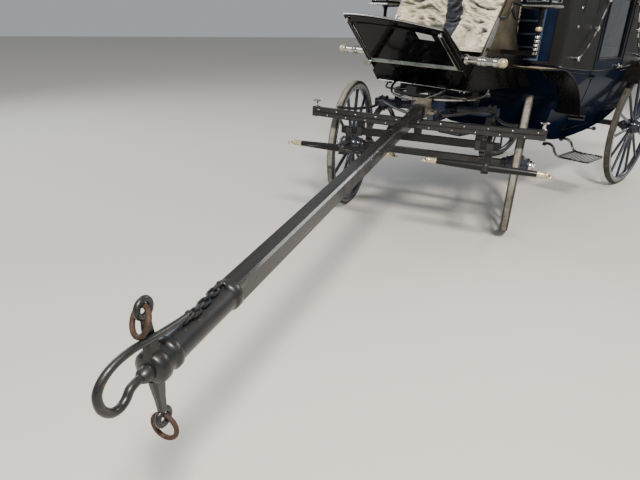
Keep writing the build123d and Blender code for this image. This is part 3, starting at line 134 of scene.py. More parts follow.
def coat(name, tones, patch, rough, metal=0.0, clear=0.0, grain=(3.0, 0.1), dust_and_top_light=None, spots=None,
         along=None, mirror=0.3, low=None, grimed=False):
    """A finish with mottled tones, fine grain, spots and a tone on what faces up. Sizes in millimetres.

    grain is its size and depth; the tone on what faces up comes with the most of it and the least upward
    facing that it needs, and is dust on most finishes and painted light on the rails and front wings; spots a
    tone, their share and size, wear or rust on most finishes and painted sheen on the pole; and low a tone
    with the heights in metres where it is whole and ends.
    """
    made, tree, where = blank(name)
    if along:
        # timber grain runs twelve times longer along the piece than across it
        lie = Vector(along).to_track_quat("X", "Z").to_euler()
        where = add(tree, "ShaderNodeMapping", {"Vector": where, "Rotation": lie, "Scale": (12, 1, 1)},
                    vector_type="TEXTURE").outputs["Vector"]
    fine = clouds(tree, where, 1000 / grain[0], 3, 0.55)
    colour = ramp(tree, clouds(tree, where, 1000 / patch, 6, 0.62), *tones)
    roughness = ramp(tree, fine, max(rough - 0.07, 0.02), min(rough + 0.1, 1.0))
    shine, lacquer = 0.5 if metal else mirror, clear
    if low:
        tone, whole, ends = low
        colour = mixed(tree, spread(tree, part_of(tree, where, "Z"), whole, ends), sight(tone), colour)
    if spots:
        # spots: wear or rust on most finishes, painted sheen streaks on the pole
        tone, share, size = spots
        blotches = clouds(tree, where, 1000 / size, 8, 0.7)
        worn = ramp(tree, blotches, 0.0, 1.0, 0.66 - share / 3, 0.72 - share / 3)
        colour = mixed(tree, worn, colour, sight(tone))
        roughness = mixed(tree, worn, roughness, (0.7, 0.7, 0.7, 1))
    if dust_and_top_light or grimed:
        facing = part_of(tree, add(tree, "ShaderNodeNewGeometry").outputs["Normal"], "Z")
    # the tone on what faces up: dust on most finishes, a painted sky reflection on the rails, dust and a
    # painted sunlit top on the front wings
    if dust_and_top_light:
        tone, most, *edge = dust_and_top_light
        least = 0.0 if edge else most * 0.12
        upward = spread(tree, facing, edge[0] if edge else -0.3, 1.0, least, most)
        film = ramp(tree, clouds(tree, where, 14.0, 6, 0.65), 0.35, 1.0)
        cover = worked(tree, "MULTIPLY", upward, film)
        colour = mixed(tree, cover, colour, sight(tone))
        roughness = mixed(tree, cover, roughness, (0.85, 0.85, 0.85, 1))
    if grimed:
        # road film dulls what faces the ground
        clean = spread(tree, facing, -0.4, -0.05)
        shine, lacquer = worked(tree, "MULTIPLY", clean, mirror), worked(tree, "MULTIPLY", clean, clear)
    surfaced(tree, Base_Color=colour, Roughness=roughness, Metallic=metal, Specular_IOR_Level=shine,
             Coat_Weight=lacquer, Coat_Roughness=0.06, Normal=relief(tree, fine, grain[1], 0.9))
    return made


YARD_DUST, ROAD_DUST = "#8d8474", "#8f8674"
# coach varnish over lamp black: mirror-like, faint orange peel, a thin film of yard dust
black_varnish = coat("coach_varnish_black", ("#060608", "#0b0b0e"), 180, 0.12, clear=0.08,
                     grain=(9, 0.03), dust_and_top_light=(YARD_DUST, 0.06), mirror=0.1)
# coach varnish over dark blue: reads black in shade and navy where light strikes
navy_varnish = coat("coach_varnish_navy", ("#070e1c", "#0c182c"), 220, 0.14, clear=0.05,
                    grain=(9, 0.03), dust_and_top_light=(YARD_DUST, 0.02), mirror=0.07, grimed=True)
# greased hood leather: dull grey-black, pebbled (drawn 3 mm so that it shows), brownish where dust sits
hood_leather = coat("hood_leather_greased", ("#0b0b0b", "#141414"), 260, 0.42, clear=0.06,
                    grain=(3, 0.35), dust_and_top_light=("#6f6860", 0.07), mirror=0.22)
# patent leather on the dash and wings: deep black gloss with soft waves
patent = coat("patent_leather_black", ("#040405", "#08080a"), 300, 0.1, clear=0.05,
              grain=(45, 0.4), dust_and_top_light=(YARD_DUST, 0.04), mirror=0.08)
# the same leather on the front wings: tan on what faces up, partly yard dust and partly a painted sunlit top
patent_dust_and_sunlit_top = coat("patent_leather_dust_and_painted_sunlight", ("#050506", "#0a0a0b"), 120, 0.24, clear=0.04,
                    grain=(14, 0.15), dust_and_top_light=("#b8a284", 0.85, 0.8), mirror=0.08)
# the dash's bent foot: patent leather painted grey-green with darker spots, a painted sky reflection
patent_sky_reflection = coat("patent_leather_painted_sky_reflection", ("#59625e", "#9aa59f"), 90, 0.3, clear=0.2,
               grain=(20, 0.2), spots=("#2c3230", 0.2, 60))
# box sides: black varnish painted tan-brown, a painted reflection of the surroundings, black from 1.30 m down
varnish_tan_reflection = coat("coach_varnish_painted_reflection", ("#383327", "#514a3a"), 140, 0.24, clear=0.08,
                     grain=(12, 0.06), dust_and_top_light=(YARD_DUST, 0.03), mirror=0.2, low=("#0b0a0a", 1.30, 1.42))
# wrought iron under old black paint: satin, with small rust blooms
black_iron = coat("wrought_iron_painted", ("#131316", "#1f1e20"), 60, 0.38, metal=0.25,
                  clear=0.15, grain=(2.5, 0.18), dust_and_top_light=("#7f7a70", 0.1), spots=("#4b3d31", 0.14, 26))
# the pole's head wears to bluish black iron, brown at its edges
head_iron = coat("wrought_iron_handled", ("#0b0d12", "#191c22"), 45, 0.36, metal=0.3,
                 clear=0.15, grain=(3, 0.3), dust_and_top_light=("#8a8272", 0.07), spots=("#54402f", 0.16, 34))
# bare iron ring: orange-brown rust with dark scale left in places
rusty_iron = coat("iron_rusted", ("#241a15", "#46301f"), 22, 0.7, metal=0.2, grain=(1.6, 0.35),
                  spots=("#5e3f2b", 0.2, 14))
# nickel plate on brass: bright, slightly yellowed and scratched
nickel = coat("nickel_plate_polished", ("#b9b6ae", "#cfcdc7"), 30, 0.16, metal=1.0,
              grain=(5, 0.04), spots=("#8a7f6c", 0.12, 16))
# old brass caps gone ivory with dust
pale_brass = coat("brass_lacquer_faded", ("#c9bfa2", "#a89a78"), 18, 0.32, metal=0.55,
                  grain=(4, 0.06), spots=("#6f634b", 0.14, 12))
# ash under worn black paint: lighter grey-brown streaks along the grain, partly wear where hands and harness
# rub and partly painted sheen
pole_timber = coat("ash_pole_wear_and_painted_sheen", ("#070708", "#121313"), 42, 0.28, clear=0.3,
                   grain=(2.2, 0.35), dust_and_top_light=("#7f7b72", 0.05), spots=("#6a6458", 0.12, 30),
                   along=FORE.to_3x3() @ POLE)
bar_timber = coat("ash_bar_worn_paint", ("#060709", "#101113"), 42, 0.36, clear=0.08,
                  grain=(2.2, 0.35), dust_and_top_light=("#85837e", 0.06), spots=("#62625f", 0.14, 26),
                  along=FORE.to_3x3() @ X, mirror=0.22)
# window rails: dark blue a shade lighter than the panels, bluish grey on top: a painted sky reflection
rail_paint_sky_reflection = coat("rail_enamel_painted_sky_reflection", ("#1c2a47", "#2c3c5e"), 40, 0.35, clear=0.1,
                  grain=(4, 0.08), dust_and_top_light=("#9aa8bd", 0.5))
# wheels: dark blue gloss on timber, road dust low on every face
wheel_gloss = coat("wheel_enamel_navy", ("#090e1c", "#111c36"), 90, 0.18, clear=0.5,
                   grain=(6, 0.08), dust_and_top_light=(ROAD_DUST, 0.12))
# solid rubber tyre, tan with road dust, dark where it is scuffed
rubber = coat("tyre_rubber_grey", ("#2a2927", "#3a3835"), 60, 0.8, grain=(3, 0.3),
              dust_and_top_light=(ROAD_DUST, 0.3))
# the tread where it meets the road: tan dust with scuffed dark patches
tread_rubber = coat("tyre_tread_dusty", ("#67645c", "#858177"), 60, 0.88, grain=(3, 0.35),
                    spots=("#3d3c39", 0.3, 46))
# rear treads darker than the front ones: painted shade, on scuffed rubber with a little dust in it
rear_tread_painted_shade = coat("tyre_tread_painted_shade", ("#35332f", "#514c44"), 60, 0.85, grain=(3, 0.35),
                  spots=("#77705f", 0.2, 40))
# cast socket plate: bare worn iron, brown and dusty
worn_casting = coat("iron_casting_worn", ("#45423c", "#7d7668"), 16, 0.55, metal=0.35,
                    grain=(3, 0.5), dust_and_top_light=("#8d826e", 0.3), spots=("#231f1c", 0.3, 14))
# seat boards and floor: oiled ash
boards = coat("ash_boards_oiled", ("#4b3826", "#6a5138"), 30, 0.5, grain=(2, 0.2),
              dust_and_top_light=(YARD_DUST, 0.2), along=(1, 0, 0))
# cabin trimming: buff wool broadcloth
broadcloth = coat("wool_broadcloth_buff", ("#6d6353", "#7d7363"), 40, 0.95, grain=(2.2, 0.5))
# candle wax in the lamps: waxy cream, softly lit
wax = coat("candle_wax", ("#e6dcc2", "#efe8d4"), 20, 0.45, grain=(6, 0.05))
# blank paper label gone grey-white
label_card = coat("card_label_faded", ("#b9b7b4", "#cbc9c4"), 20, 0.6, grain=(2, 0.05))


def window_glass(name, tint, rough):
    """Thin drawn glass: clear, faintly green, waved a little by its making."""
    made, tree, where = blank(name)
    wave = clouds(tree, where, 9.0, 2)
    surfaced(tree, Base_Color=ramp(tree, wave, tint, "#f4f7f6"), Roughness=rough, IOR=1.45,
             Transmission_Weight=1.0, Normal=relief(tree, wave, 0.8, 0.4))
    return made


glass = window_glass("drawn_glass_clear", "#dfe8e4", 0.02)
lamp_pane = window_glass("bevelled_glass_lamp", "#e8ebe4", 0.05)


def cotton_canvas(name, band_x, half_band):
    """Unbleached cotton duck: beige, creased, stained, with one dyed blue band down its middle."""
    made, tree, where = blank(name)
    # threads drawn 4 mm apart so that the weave shows
    warp, weft = (add(tree, "ShaderNodeTexWave", {"Vector": where, "Scale": 39.0, "Distortion": 0.6},
                      bands_direction=way).outputs["Fac"] for way in "XZ")
    stain = clouds(tree, where, 6.0, 8, 0.7)
    cream = ramp(tree, stain, "#8a7f66", "#ddd1b6", 0.3, 0.56)
    blue = ramp(tree, stain, "#090e17", "#121a28", 0.3, 0.7)
    away = worked(tree, "ABSOLUTE", worked(tree, "SUBTRACT", part_of(tree, where, "X"), band_x))
    colour = mixed(tree, worked(tree, "LESS_THAN", away, half_band), cream, blue)
    # painted shade darkens the bottoms of the folds
    fold_shade = add(tree, "ShaderNodeAttribute", attribute_name="painted_fold_shade").outputs["Fac"]
    colour = mixed(tree, fold_shade, colour, sight("#24262a"))
    # level creases, four times as long as they are high
    level = add(tree, "ShaderNodeMapping", {"Vector": where, "Scale": (11, 11, 44)}).outputs["Vector"]
    soft = relief(tree, clouds(tree, level, 1.0, 5, Distortion=0.7), 30, 0.8)
    weave = relief(tree, worked(tree, "MULTIPLY", warp, weft), 0.6, 0.6, Normal=soft)
    surfaced(tree, Base_Color=colour, Roughness=0.92, Sheen_Weight=0.2, Normal=weave)
    return made


canvas = cotton_canvas("cotton_duck_unbleached", (BODY @ Vector((-3, 0, 0))).x, 0.067)

for finish, names in (
        (navy_varnish, "front_body rear_body sill door_near door_off"),
        (black_varnish, "boot lamps"),
        (varnish_tan_reflection, "box_side_panels"),
        (patent, "dash toe_board rear_wings"),
        (patent_dust_and_sunlit_top, "front_wings"),
        (hood_leather, "head_front head_rear"),
        (nickel, "cross_tube landau_irons"),
        (black_iron, "front_axle rear_axle front_springs rear_spring rear_frame steps turntable_upper_ring "
                     "turntable_lower_ring roller_bolts swingletree_hangers door_hinges"),
        (wheel_gloss, "fore_frame wheel_front_near wheel_front_off wheel_rear_near wheel_rear_off"),
        (worn_casting, "pole_socket"),
        (head_iron, "pole_sleeve crab crab_rings pole_hook"),
        (pole_timber, "pole"),
        (bar_timber, "splinter_bar evener_bar swingletree_near swingletree_off"),
        (boards, "cabin_floor cabin_benches box_seat"),
        (broadcloth, "cabin_cushions cabin_backrests"),
        (canvas, "seat_cover"),
        (glass, "front_window_glass door_glass_near door_glass_off"),
        (lamp_pane, "lamp_glass"),
        (rubber, "tyre_front_near tyre_front_off tyre_rear_near tyre_rear_off")):
    for name in names.split():
        if not NODES[name].material_slots:
            NODES[name].data.materials.append(finish)
        for held in NODES[name].material_slots:
            held.material = finish


# Ways of making
def polar(radius, angle):
    return radius * math.cos(angle), radius * math.sin(angle)


def turns(count):
    """Even angles once round."""
    return [2 * math.pi * k / count for k in range(count)]


def stand(origin, way, across=None):
    """A place whose z runs along way, and whose x lies near across."""
    z = Vector(way).normalized()
    x = Vector(across) if across else (X if abs(z.x) < 0.9 else Y)
    x = (x - z * x.dot(z)).normalized()
    return Matrix.Translation(Vector(origin)) @ Matrix((x, z.cross(x), z)).transposed().to_4x4()


def at(*spot):
    return Matrix.Translation(spot)


def through(stops, steps=8, closed=False):
    """A smooth path that passes through each stop."""
    stops = [Vector(s) for s in stops]
    count = len(stops)
    path = []
    for i in range(count if closed else count - 1):
        near = [i + k if not closed else (i + k) % count for k in (-1, 0, 1, 2)]
        a, b, c, d = (stops[min(max(k, 0), count - 1)] for k in near)
        for s in range(steps):
            t = s / steps
            bend, swing = 2 * a - 5 * b + 4 * c - d, 3 * b - a - 3 * c + d
            path.append(0.5 * (2 * b + (c - a) * t + bend * t * t + swing * t ** 3))
    return path if closed else path + [stops[-1]]


def bow(a, b, c, steps=16):
    """Points on the arc through three stops."""
    a, b, c = Vector(a), Vector(b), Vector(c)
    u, v = b - a, c - a
    normal = u.cross(v)
    lean = u.length_squared * v.cross(normal) - v.length_squared * u.cross(normal)
    centre = a + lean * 0.5 / normal.length_squared
    start = a - centre
    whole = start.angle(b - centre) + (b - centre).angle(c - centre)
    return [centre + Matrix.Rotation(whole * s / steps, 3, normal) @ start for s in range(steps + 1)]


def rod(radius, sides=10, flat=1.0):
    """A round or flattened section."""
    return [(u, flat * v) for u, v in (polar(radius, a) for a in turns(sides))]


def strip(width, thick, edge=1.2):
    """A flat bar's section with eased corners, width along the first axis."""
    w, t = width / 2, thick / 2
    e = min(edge, w * 0.6, t * 0.6)
    right = [(w - e, -t), (w, -t + e), (w, t - e), (w - e, t)]
    return right + [(-u, -v) for u, v in right]


def even(*half):
    """A turned profile that is the same on both sides, from its upper half, read from the middle up."""
    return [(r, -h) for r, h in reversed(half) if h] + list(half)


def patches(rows, columns, first=0):
    """The faces of a sheet of points, row after row."""
    return [(i, i + 1, i + columns + 1, i + columns)
            for i in (first + r * columns + k for r in range(rows - 1) for k in range(columns - 1))]


def mesh_of(name, points, edges=(), faces=()):
    mesh = bpy.data.meshes.new(name)
    mesh.from_pydata(points, edges, faces)
    return mesh


def shown(name, data):
    """A new object in the scene."""
    thing = bpy.data.objects.new(name, data)
    bpy.context.scene.collection.objects.link(thing)
    return thing


def result(thing):
    """What an object's modifiers make of it, as a plain mesh."""
    return bpy.data.meshes.new_from_object(thing.evaluated_get(bpy.context.evaluated_depsgraph_get()))


class Piece:
    """A piece in the making: its points and faces."""

    def __init__(self, name):
        self.name = name
        self.points = []
        self.faces = []

    def join(self, points, faces, place=None):
        start = len(self.points)
        self.points += [place @ Vector(p) if place else Vector(p) for p in points]
        self.faces += [[start + i for i in face] for face in faces]
        return self

    def lofted(self, points, n, loop=False, start=True, end=True, place=None):
        """Rings of n points joined by walls. The first and last ring are closed, or join in a loop."""
        rows = len(points) // n
        faces = [(j * n + k, j * n + (k + 1) % n, (j + 1) % rows * n + (k + 1) % n, (j + 1) % rows * n + k)
                 for j in range(rows if loop else rows - 1) for k in range(n)]
        if start and not loop:
            faces.append(range(n)[::-1])
        if end and not loop:
            faces.append(range((rows - 1) * n, rows * n))
        return self.join(points, faces, place)

    def turned(self, profile, place, sides=32, loop=False):
        """A turned form: (radius, height) pairs round the place's z axis."""
        points = [(*polar(r, a), h) for r, h in profile for a in turns(sides)]
        return self.lofted(points, sides, loop, profile[0][0] > 0, profile[-1][0] > 0, place)

    def swept(self, path, section, across=None, taper=None, closed=False):
        """A bar of one section along a path. The section's first axis keeps to across, or turns freely."""
        path = [Vector(p) for p in path]
        count = len(path)
        ways = []
        for i in range(count):
            ahead = path[(i + 1) % count] if closed else path[min(i + 1, count - 1)]
            behind = path[(i - 1) % count] if closed else path[max(i - 1, 0)]
            ways.append((ahead - behind).normalized())
        side = Vector(across) if across else (X if abs(ways[0].x) < 0.8 else Y)
        points = []
        for i, (spot, way) in enumerate(zip(path, ways)):
            base = Vector(across) if across else side
            side = (base - way * base.dot(way)).normalized()
            up = way.cross(side)
            grow = taper[i] if taper else 1.0
            points += [spot + side * u * grow + up * v * grow for u, v in section]
        return self.lofted(points, len(section), closed)

    def pair(self, stops, section, steps=0, **how):
        """A bar along a path, rounded in so many steps from stop to stop, and its mirror image."""
        for side in SIDES:
            path = [(side * x, y, z) for x, y, z in stops]
            self.swept(through(path, steps) if steps else path, section, **how)
        return self

    def rung(self, centre, u, v, radius, section, across, sides=24):
        """A closed ring in the plane of u and v."""
        path = [centre + u * a + v * b for a, b in (polar(radius, turn) for turn in turns(sides))]
        return self.swept(path, section, across=across, closed=True)

    def block(self, size, place):
        a, b, c = (s / 2 for s in size)
        corners = ((-a, -b), (a, -b), (a, b), (-a, b))
        return self.lofted([(u, v, h) for h in (-c, c) for u, v in corners], 4, place=place)

    def bolt(self, place, radius, height):
        """A six-sided head with its top eased."""
        profile = [(0, 0), (radius, 0), (radius, height - 3), (radius - 3, height), (0, height)]
        return self.turned(profile, place, 6)

    def made(self, finish, body="carriage", smooth=38, ease=0.0, instead=()):
        """The finished object: doubles merged, faces outwards, in the frame's metres, riding on its body."""
        place = home(body)
        mesh = mesh_of(self.name, [place @ p for p in self.points], faces=self.faces)
        work = bmesh.new()
        work.from_mesh(mesh)
        bmesh.ops.remove_doubles(work, verts=work.verts, dist=0.00002)
        bmesh.ops.recalc_face_normals(work, faces=work.faces)
        work.to_mesh(mesh)
        work.free()
        return settled(mesh, self.name, finish, body, smooth, ease, instead)


def settled(mesh, name, finish, body, smooth=60, ease=0.0, instead=()):
    """A plain mesh as a finished object on its body."""
    mesh.name = name
    mesh.materials.clear()
    mesh.materials.append(finish)
    mesh.shade_smooth()
    mesh.set_sharp_from_angle(angle=math.radians(smooth))
    thing = shown(name, mesh)
    if ease:
        edge = thing.modifiers.new("eased_edges", "BEVEL")
        edge.width = ease / 1000
        edge.segments = 2
        edge.limit_method = "ANGLE"
        edge.angle_limit = math.radians(50)
    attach(thing, body)
    if instead:
        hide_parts(*instead)
    return thing


# Geometry Nodes: what repeats
def socketed(name, **sockets):
    """An empty tree with named inputs, and the node that gives them."""
    tree = bpy.data.node_groups.new(name, "GeometryNodeTree")
    for title, kind in sockets.items():
        tree.interface.new_socket(title, in_out="INPUT", socket_type="NodeSocket" + kind)
    tree.interface.new_socket("Geometry", in_out="OUTPUT", socket_type="NodeSocketGeometry")
    return tree, add(tree, "NodeGroupInput").outputs


def copied(tree, spots, part, finish, **ways):
    """The tree's end: the part on every spot, made real and given its finish."""
    copies = add(tree, "GeometryNodeInstanceOnPoints", {"Points": spots, "Instance": part, **ways})
    plain = add(tree, "GeometryNodeRealizeInstances", {"Geometry": copies.outputs["Instances"]})
    plain = plain.outputs["Geometry"]
    painted = add(tree, "GeometryNodeSetMaterial", {"Geometry": plain, "Material": finish})
    add(tree, "NodeGroupOutput", {"Geometry": painted.outputs["Geometry"]})
    return tree


def heads_tree():
    """A domed head on every point, turned along the point's own aim."""
    tree, given = socketed("domed_heads", Points="Geometry", Radius="Float", Height="Float",
                           Finish="Material")
    dome = add(tree, "GeometryNodeMeshUVSphere", {"Segments": 8, "Rings": 5, "Radius": 1.0})
    aim = add(tree, "GeometryNodeInputNamedAttribute", {"Name": "aim"}, data_type="FLOAT_VECTOR")
    turn = add(tree, "FunctionNodeAlignRotationToVector", {"Vector": aim.outputs["Attribute"]}, axis="Z")
    wide = given["Radius"]
    size = add(tree, "ShaderNodeCombineXYZ", {"X": wide, "Y": wide, "Z": given["Height"]})
    return copied(tree, given["Points"], dome.outputs["Mesh"], given["Finish"],
                  Rotation=turn.outputs["Rotation"], Scale=size.outputs["Vector"])


def round_tree():
    """Copies of one part evenly round the z axis, such as a wheel's spokes."""
    tree, given = socketed("parts_round_axis", Part="Geometry", Count="Int", Start="Float", Finish="Material")
    spots = add(tree, "GeometryNodeMeshLine", {"Count": given["Count"], "Offset": (0, 0, 0)})
    index = add(tree, "GeometryNodeInputIndex")
    share = worked(tree, "DIVIDE", index.outputs["Index"], given["Count"])
    angle = worked(tree, "MULTIPLY_ADD", share, 2 * math.pi, given["Start"])
    turn = add(tree, "ShaderNodeCombineXYZ", {"Z": angle}).outputs["Vector"]
    return copied(tree, spots.outputs["Mesh"], given["Part"], given["Finish"], Rotation=turn)


def stitch_tree():
    """Short raised stitches at an even pitch along a path."""
    tree, given = socketed("stitches_on_path", Path="Geometry", Pitch="Float", Thread="Float",
                           Finish="Material")
    line = add(tree, "GeometryNodeMeshToCurve", {"Mesh": given["Path"]})
    spots = add(tree, "GeometryNodeResampleCurve", {"Curve": line.outputs["Curve"], "Length": given["Pitch"]},
                mode="LENGTH")
    stitch = add(tree, "GeometryNodeMeshUVSphere", {"Segments": 6, "Rings": 4, "Radius": 1.0})
    way = add(tree, "GeometryNodeInputTangent")
    turn = add(tree, "FunctionNodeAlignRotationToVector", {"Vector": way.outputs["Tangent"]}, axis="X")
    # a stitch takes up 72 parts in 100 of its pitch
    half = worked(tree, "MULTIPLY", given["Pitch"], 0.36)
    size = add(tree, "ShaderNodeCombineXYZ", {"X": half, "Y": given["Thread"], "Z": given["Thread"]})
    return copied(tree, spots.outputs["Curve"], stitch.outputs["Mesh"], given["Finish"],
                  Rotation=turn.outputs["Rotation"], Scale=size.outputs["Vector"])


def grown(mesh, tree, **sizes):
    """Runs a tree on a mesh, with its inputs set by their identifiers, and gives back the plain mesh."""
    carrier = shown("carrier", mesh)
    run = carrier.modifiers.new("grow", "NODES")
    run.node_group = tree
    for item in tree.interface.items_tree:
        if item.item_type == "SOCKET" and item.in_out == "INPUT" and item.name in sizes:
            run[item.identifier] = sizes[item.name]
    plain = result(carrier)
    carrier.modifiers.remove(run)
    bpy.data.objects.remove(carrier)
    return plain


HEADS, ROUND, STITCHES = heads_tree(), round_tree(), stitch_tree()


def heads(name, spots, radius, height, finish, body="carriage"):
    """Rivets, studs or nails: spots are (point, aim) pairs in millimetres."""
    place = home(body)
    mesh = mesh_of(name, [place @ Vector(p) for p, _ in spots])
    aims = mesh.attributes.new("aim", "FLOAT_VECTOR", "POINT")
    for item, (_, aim) in zip(aims.data, spots):
        item.vector = (place.to_3x3() @ Vector(aim)).normalized()
    plain = grown(mesh, HEADS, Radius=radius / 1000, Height=height / 1000, Finish=finish)
    return settled(plain, name, finish, body)


def stitched(name, path, pitch, thread):
    mesh = mesh_of(name, [BODY @ Vector(p) for p in path], [(i, i + 1) for i in range(len(path) - 1)])
    plain = grown(mesh, STITCHES, Pitch=pitch / 1000, Thread=thread / 1000, Finish=label_card)
    return settled(plain, name, label_card, "carriage")


def surface_of(*meshes):
    """Some meshes' surface, to lay trims on."""
    work = bmesh.new()
    for mesh in meshes:
        work.from_mesh(mesh)
    return BVHTree.FromBMesh(work)


def skin(*names):
    return surface_of(*(NODES[name].data for name in names))


def laid(surface, start, way):
    """Where a line from start, in millimetres, first meets a surface: the point and the way it faces."""
    hit, normal, _, _ = surface.ray_cast(BODY @ Vector(start), Vector(way).normalized(), 6.0)
    if hit is None:
        return None
    return BODY.inverted() @ hit, normal if normal.dot(Vector(way)) < 0 else -normal


# Wheels
RIM_DEEP, TYRE_DEEP, NAVE_R, NAVE_HALF = 48, 24, 78, 85
# each spoke's stations: reach, in millimetres at the nave and then as a share of the rest, width, depth
SPOKE = ((58, 34, 30), (92, 34, 31), (130, 27, 30), (0.55, 25, 28), (0.86, 25, 25), (1.0, 30, 27))
SPOKE_SIDES = 14


def spoke_form(reach_end):
    """One spoke, square and stout at the nave, shaved oval above it."""
    points = []
    for i, (reach, wide, deep) in enumerate(SPOKE):
        r = reach if reach > 2 else NAVE_R + (reach_end - NAVE_R) * reach
        power = 0.55 if i < 2 else 0.85
        for c, s in (polar(1, a) for a in turns(SPOKE_SIDES)):
            points.append((r, wide / 2 * math.copysign(abs(c) ** power, c),
                           deep / 2 * math.copysign(abs(s) ** power, s)))
    spoke = Piece("spoke").lofted(points, SPOKE_SIDES)
    return mesh_of("spoke", spoke.points, faces=spoke.faces)


for wheel, x, y, dia, spokes, side in (
        ("front_near", 680, 0, 1050, 12, 1), ("front_off", -680, 0, 1050, 12, -1),
        ("rear_near", 715, REAR_Y, 1210, 14, 1), ("rear_off", -715, REAR_Y, 1210, 14, -1)):
    body = "wheel_" + wheel
    hub = stand((x, y, dia / 2), (side, 0, 0), Y)
    tread = dia / 2
    rim = tread - TYRE_DEEP
    inner = rim - RIM_DEEP
    # bent timber rim with eased inner edges, and the turned nave
    timber = Piece(body + "_rim")
    timber.turned(even((rim, 25), (inner + 11, 24), (inner + 3, 19), (inner, 13)), hub, 96, loop=True)
    timber.turned(even((79, 0), (NAVE_R, 20), (76, 36), (66, 48), (62, 60), (57, 66), (56, 82),
                       (50, NAVE_HALF), (23, NAVE_HALF)), hub, 40, loop=True)
    timber.made(wheel_gloss, body, instead=(body,))
    start = math.radians(90 / spokes)
    ringed = grown(spoke_form(inner + 2), ROUND, Count=spokes, Start=start, Finish=wheel_gloss)
    ringed.transform(home(body) @ hub)
    settled(ringed, body + "_spokes", wheel_gloss, body, smooth=50)
    # the channel that holds the tyre, nave bands, rim and nave bolts
    iron = Piece(body + "_irons")
    iron.turned(even((rim + 1, 24), (rim + 9, 24), (rim + 9, 27), (rim - 1, 27)), hub, 96, loop=True)
    for low, high, r in ((-86, -74, 59), (74, 86, 59), (34, 46, 70), (-46, -34, 70)):
        band = [(r - 8, low), (r - 1, low), (r, low + 2), (r, high - 2), (r - 1, high), (r - 8, high)]
        iron.turned(band, hub, 40, loop=True)
    iron.made(black_iron, body)
    pitch = 2 * math.pi / spokes
    aim = Vector((side, 0, 0))
    heads(body + "_rim_bolts",
          [(hub @ Vector((*polar(inner + 22, pitch * (2 * k + 0.75) + off), face * 24.5)), aim * face)
           for k in range(spokes // 2) for face in (1, -1) for off in (-0.07, 0.07)], 6, 4, black_iron, body)
    heads(body + "_nave_bolts", [(hub @ Vector((*polar(48, a), NAVE_HALF)), aim) for a in turns(spokes)],
          4.5, 3.5, black_iron, body)
    # bright hub cap with a six-sided end
    cap = Piece(body + "_cap")
    cap.turned([(44, 84), (45, 88), (42, 91), (41, 108), (39, 112), (34, 114), (30, 116)], hub, 36)
    cap.turned([(32, 115), (33, 117), (33, 128), (29, 131), (0, 131)], hub, 6)
    cap.made(nickel, body, smooth=32, ease=0.8)
    # solid rubber tyre with a worn, slightly crowned tread
    shoe = Piece("tyre_" + wheel + "_rubber")
    shoe.turned(even((tread, 8), (tread - 1, 18), (tread - 4, 23), (rim + 16, 25), (rim + 9, 23.5),
                     (rim + 1.5, 22)), hub, 128, loop=True)
    shoe.made(rubber, body, smooth=50, instead=("tyre_" + wheel,))
    worn = Piece("tyre_" + wheel + "_tread")
    worn.turned(even((tread + 0.2, 0), (tread, 8), (tread - 0.4, 16), (tread - 1.2, 17)), hub, 128, loop=True)
    worn.made(tread_rubber if wheel.startswith("front") else rear_tread_painted_shade, body, smooth=50)

# Axles and springs
LEAF, LEAVES, EYE_IN, CLIP_X = 6.5, 4, 14, 34


def leaf_springs(name, places, low, high, half, body, node):
    """Elliptic springs of four leaves a side, with rolled eyes, bolts and centre clips."""
    leaves, clips = Piece(name), Piece(name + "_clips")
    eye = (low + high) / 2
    for place in places:
        for side, crown in ((-1, low + 3 * LEAF), (1, high - 3 * LEAF)):
            drop = abs(eye - crown)
            radius = ((half - EYE_IN) ** 2 + drop ** 2) / (2 * drop)
            spread_angle = math.asin((half - EYE_IN) / radius)
            for leaf in range(LEAVES):
                out = radius + LEAF * leaf
                # each leaf ends a fifth of the length short of the one inside it
                reach = spread_angle * (1.0 - 0.21 * leaf)
                path = [place @ Vector((out * math.sin(a), 0, crown + side * (out * math.cos(a) - radius)))
                        for a in (reach * (s / 16 - 1) for s in range(33))]
                leaves.swept(path, strip(6.2, 44 - 1.5 * leaf), across=place.to_3x3() @ Z)
        for end in SIDES:
            pin = place @ stand((end * (half - 12), 0, eye), Y)
            leaves.turned(even((17, 21), (16, 23), (8, 23)), pin, 24, loop=True)
            clips.turned(even((8, 24), (12, 24), (12, 29), (11, 31), (0, 31)), pin, 6)
        for z in (low + 13, high - 13):
            for x in (-CLIP_X, CLIP_X):
                clips.block((16, 54, 34), place @ at(x, 0, z))
                for y in (-22, 22):
                    clips.turned(even((8, 20), (7, 22), (0, 22)), place @ stand((x, y, z), Z), 6)
    leaves.made(black_iron, body, smooth=30, instead=(node,))
    clips.made(black_iron, body, smooth=30, ease=0.8)


SPRING_X = 430
LENGTHWISE = Matrix.Rotation(math.pi / 2, 4, "Z")
leaf_springs("spring_leaves_front", [at(x, 0, 0) @ LENGTHWISE for x in (-SPRING_X, SPRING_X)], 550, 872, 400,
             "fore_carriage", "front_springs")
leaf_springs("spring_leaves_rear", [at(0, REAR_Y, 0)], 630, 935, 440, "carriage", "rear_spring")

for name, y, z, track, body in (("front", 0, 525, 1360, "fore_carriage"),
                                ("rear", REAR_Y, 605, 1430, "carriage")):
    collars = Piece(name + "_axle_collars")
    for side in SIDES:
        hub = stand((side * (track / 2 - NAVE_HALF), y, z), (side, 0, 0), Y)
        collar = [(22, -34), (36, -34), (42, -26), (46, -14), (46, -4), (42, -1.5), (22, -1.5)]
        collars.turned(collar, hub, 28, loop=True)
    collars.made(black_iron, body)

# Fore-carriage: splinter bar plates, bolts, straps, braces and turntable
BAR_Y, BAR_Z, BAR_SAG, BAR_HALF = -532, 864.5, 80, 833
BAR_R = (BAR_HALF ** 2 + BAR_SAG ** 2) / (2 * BAR_SAG)


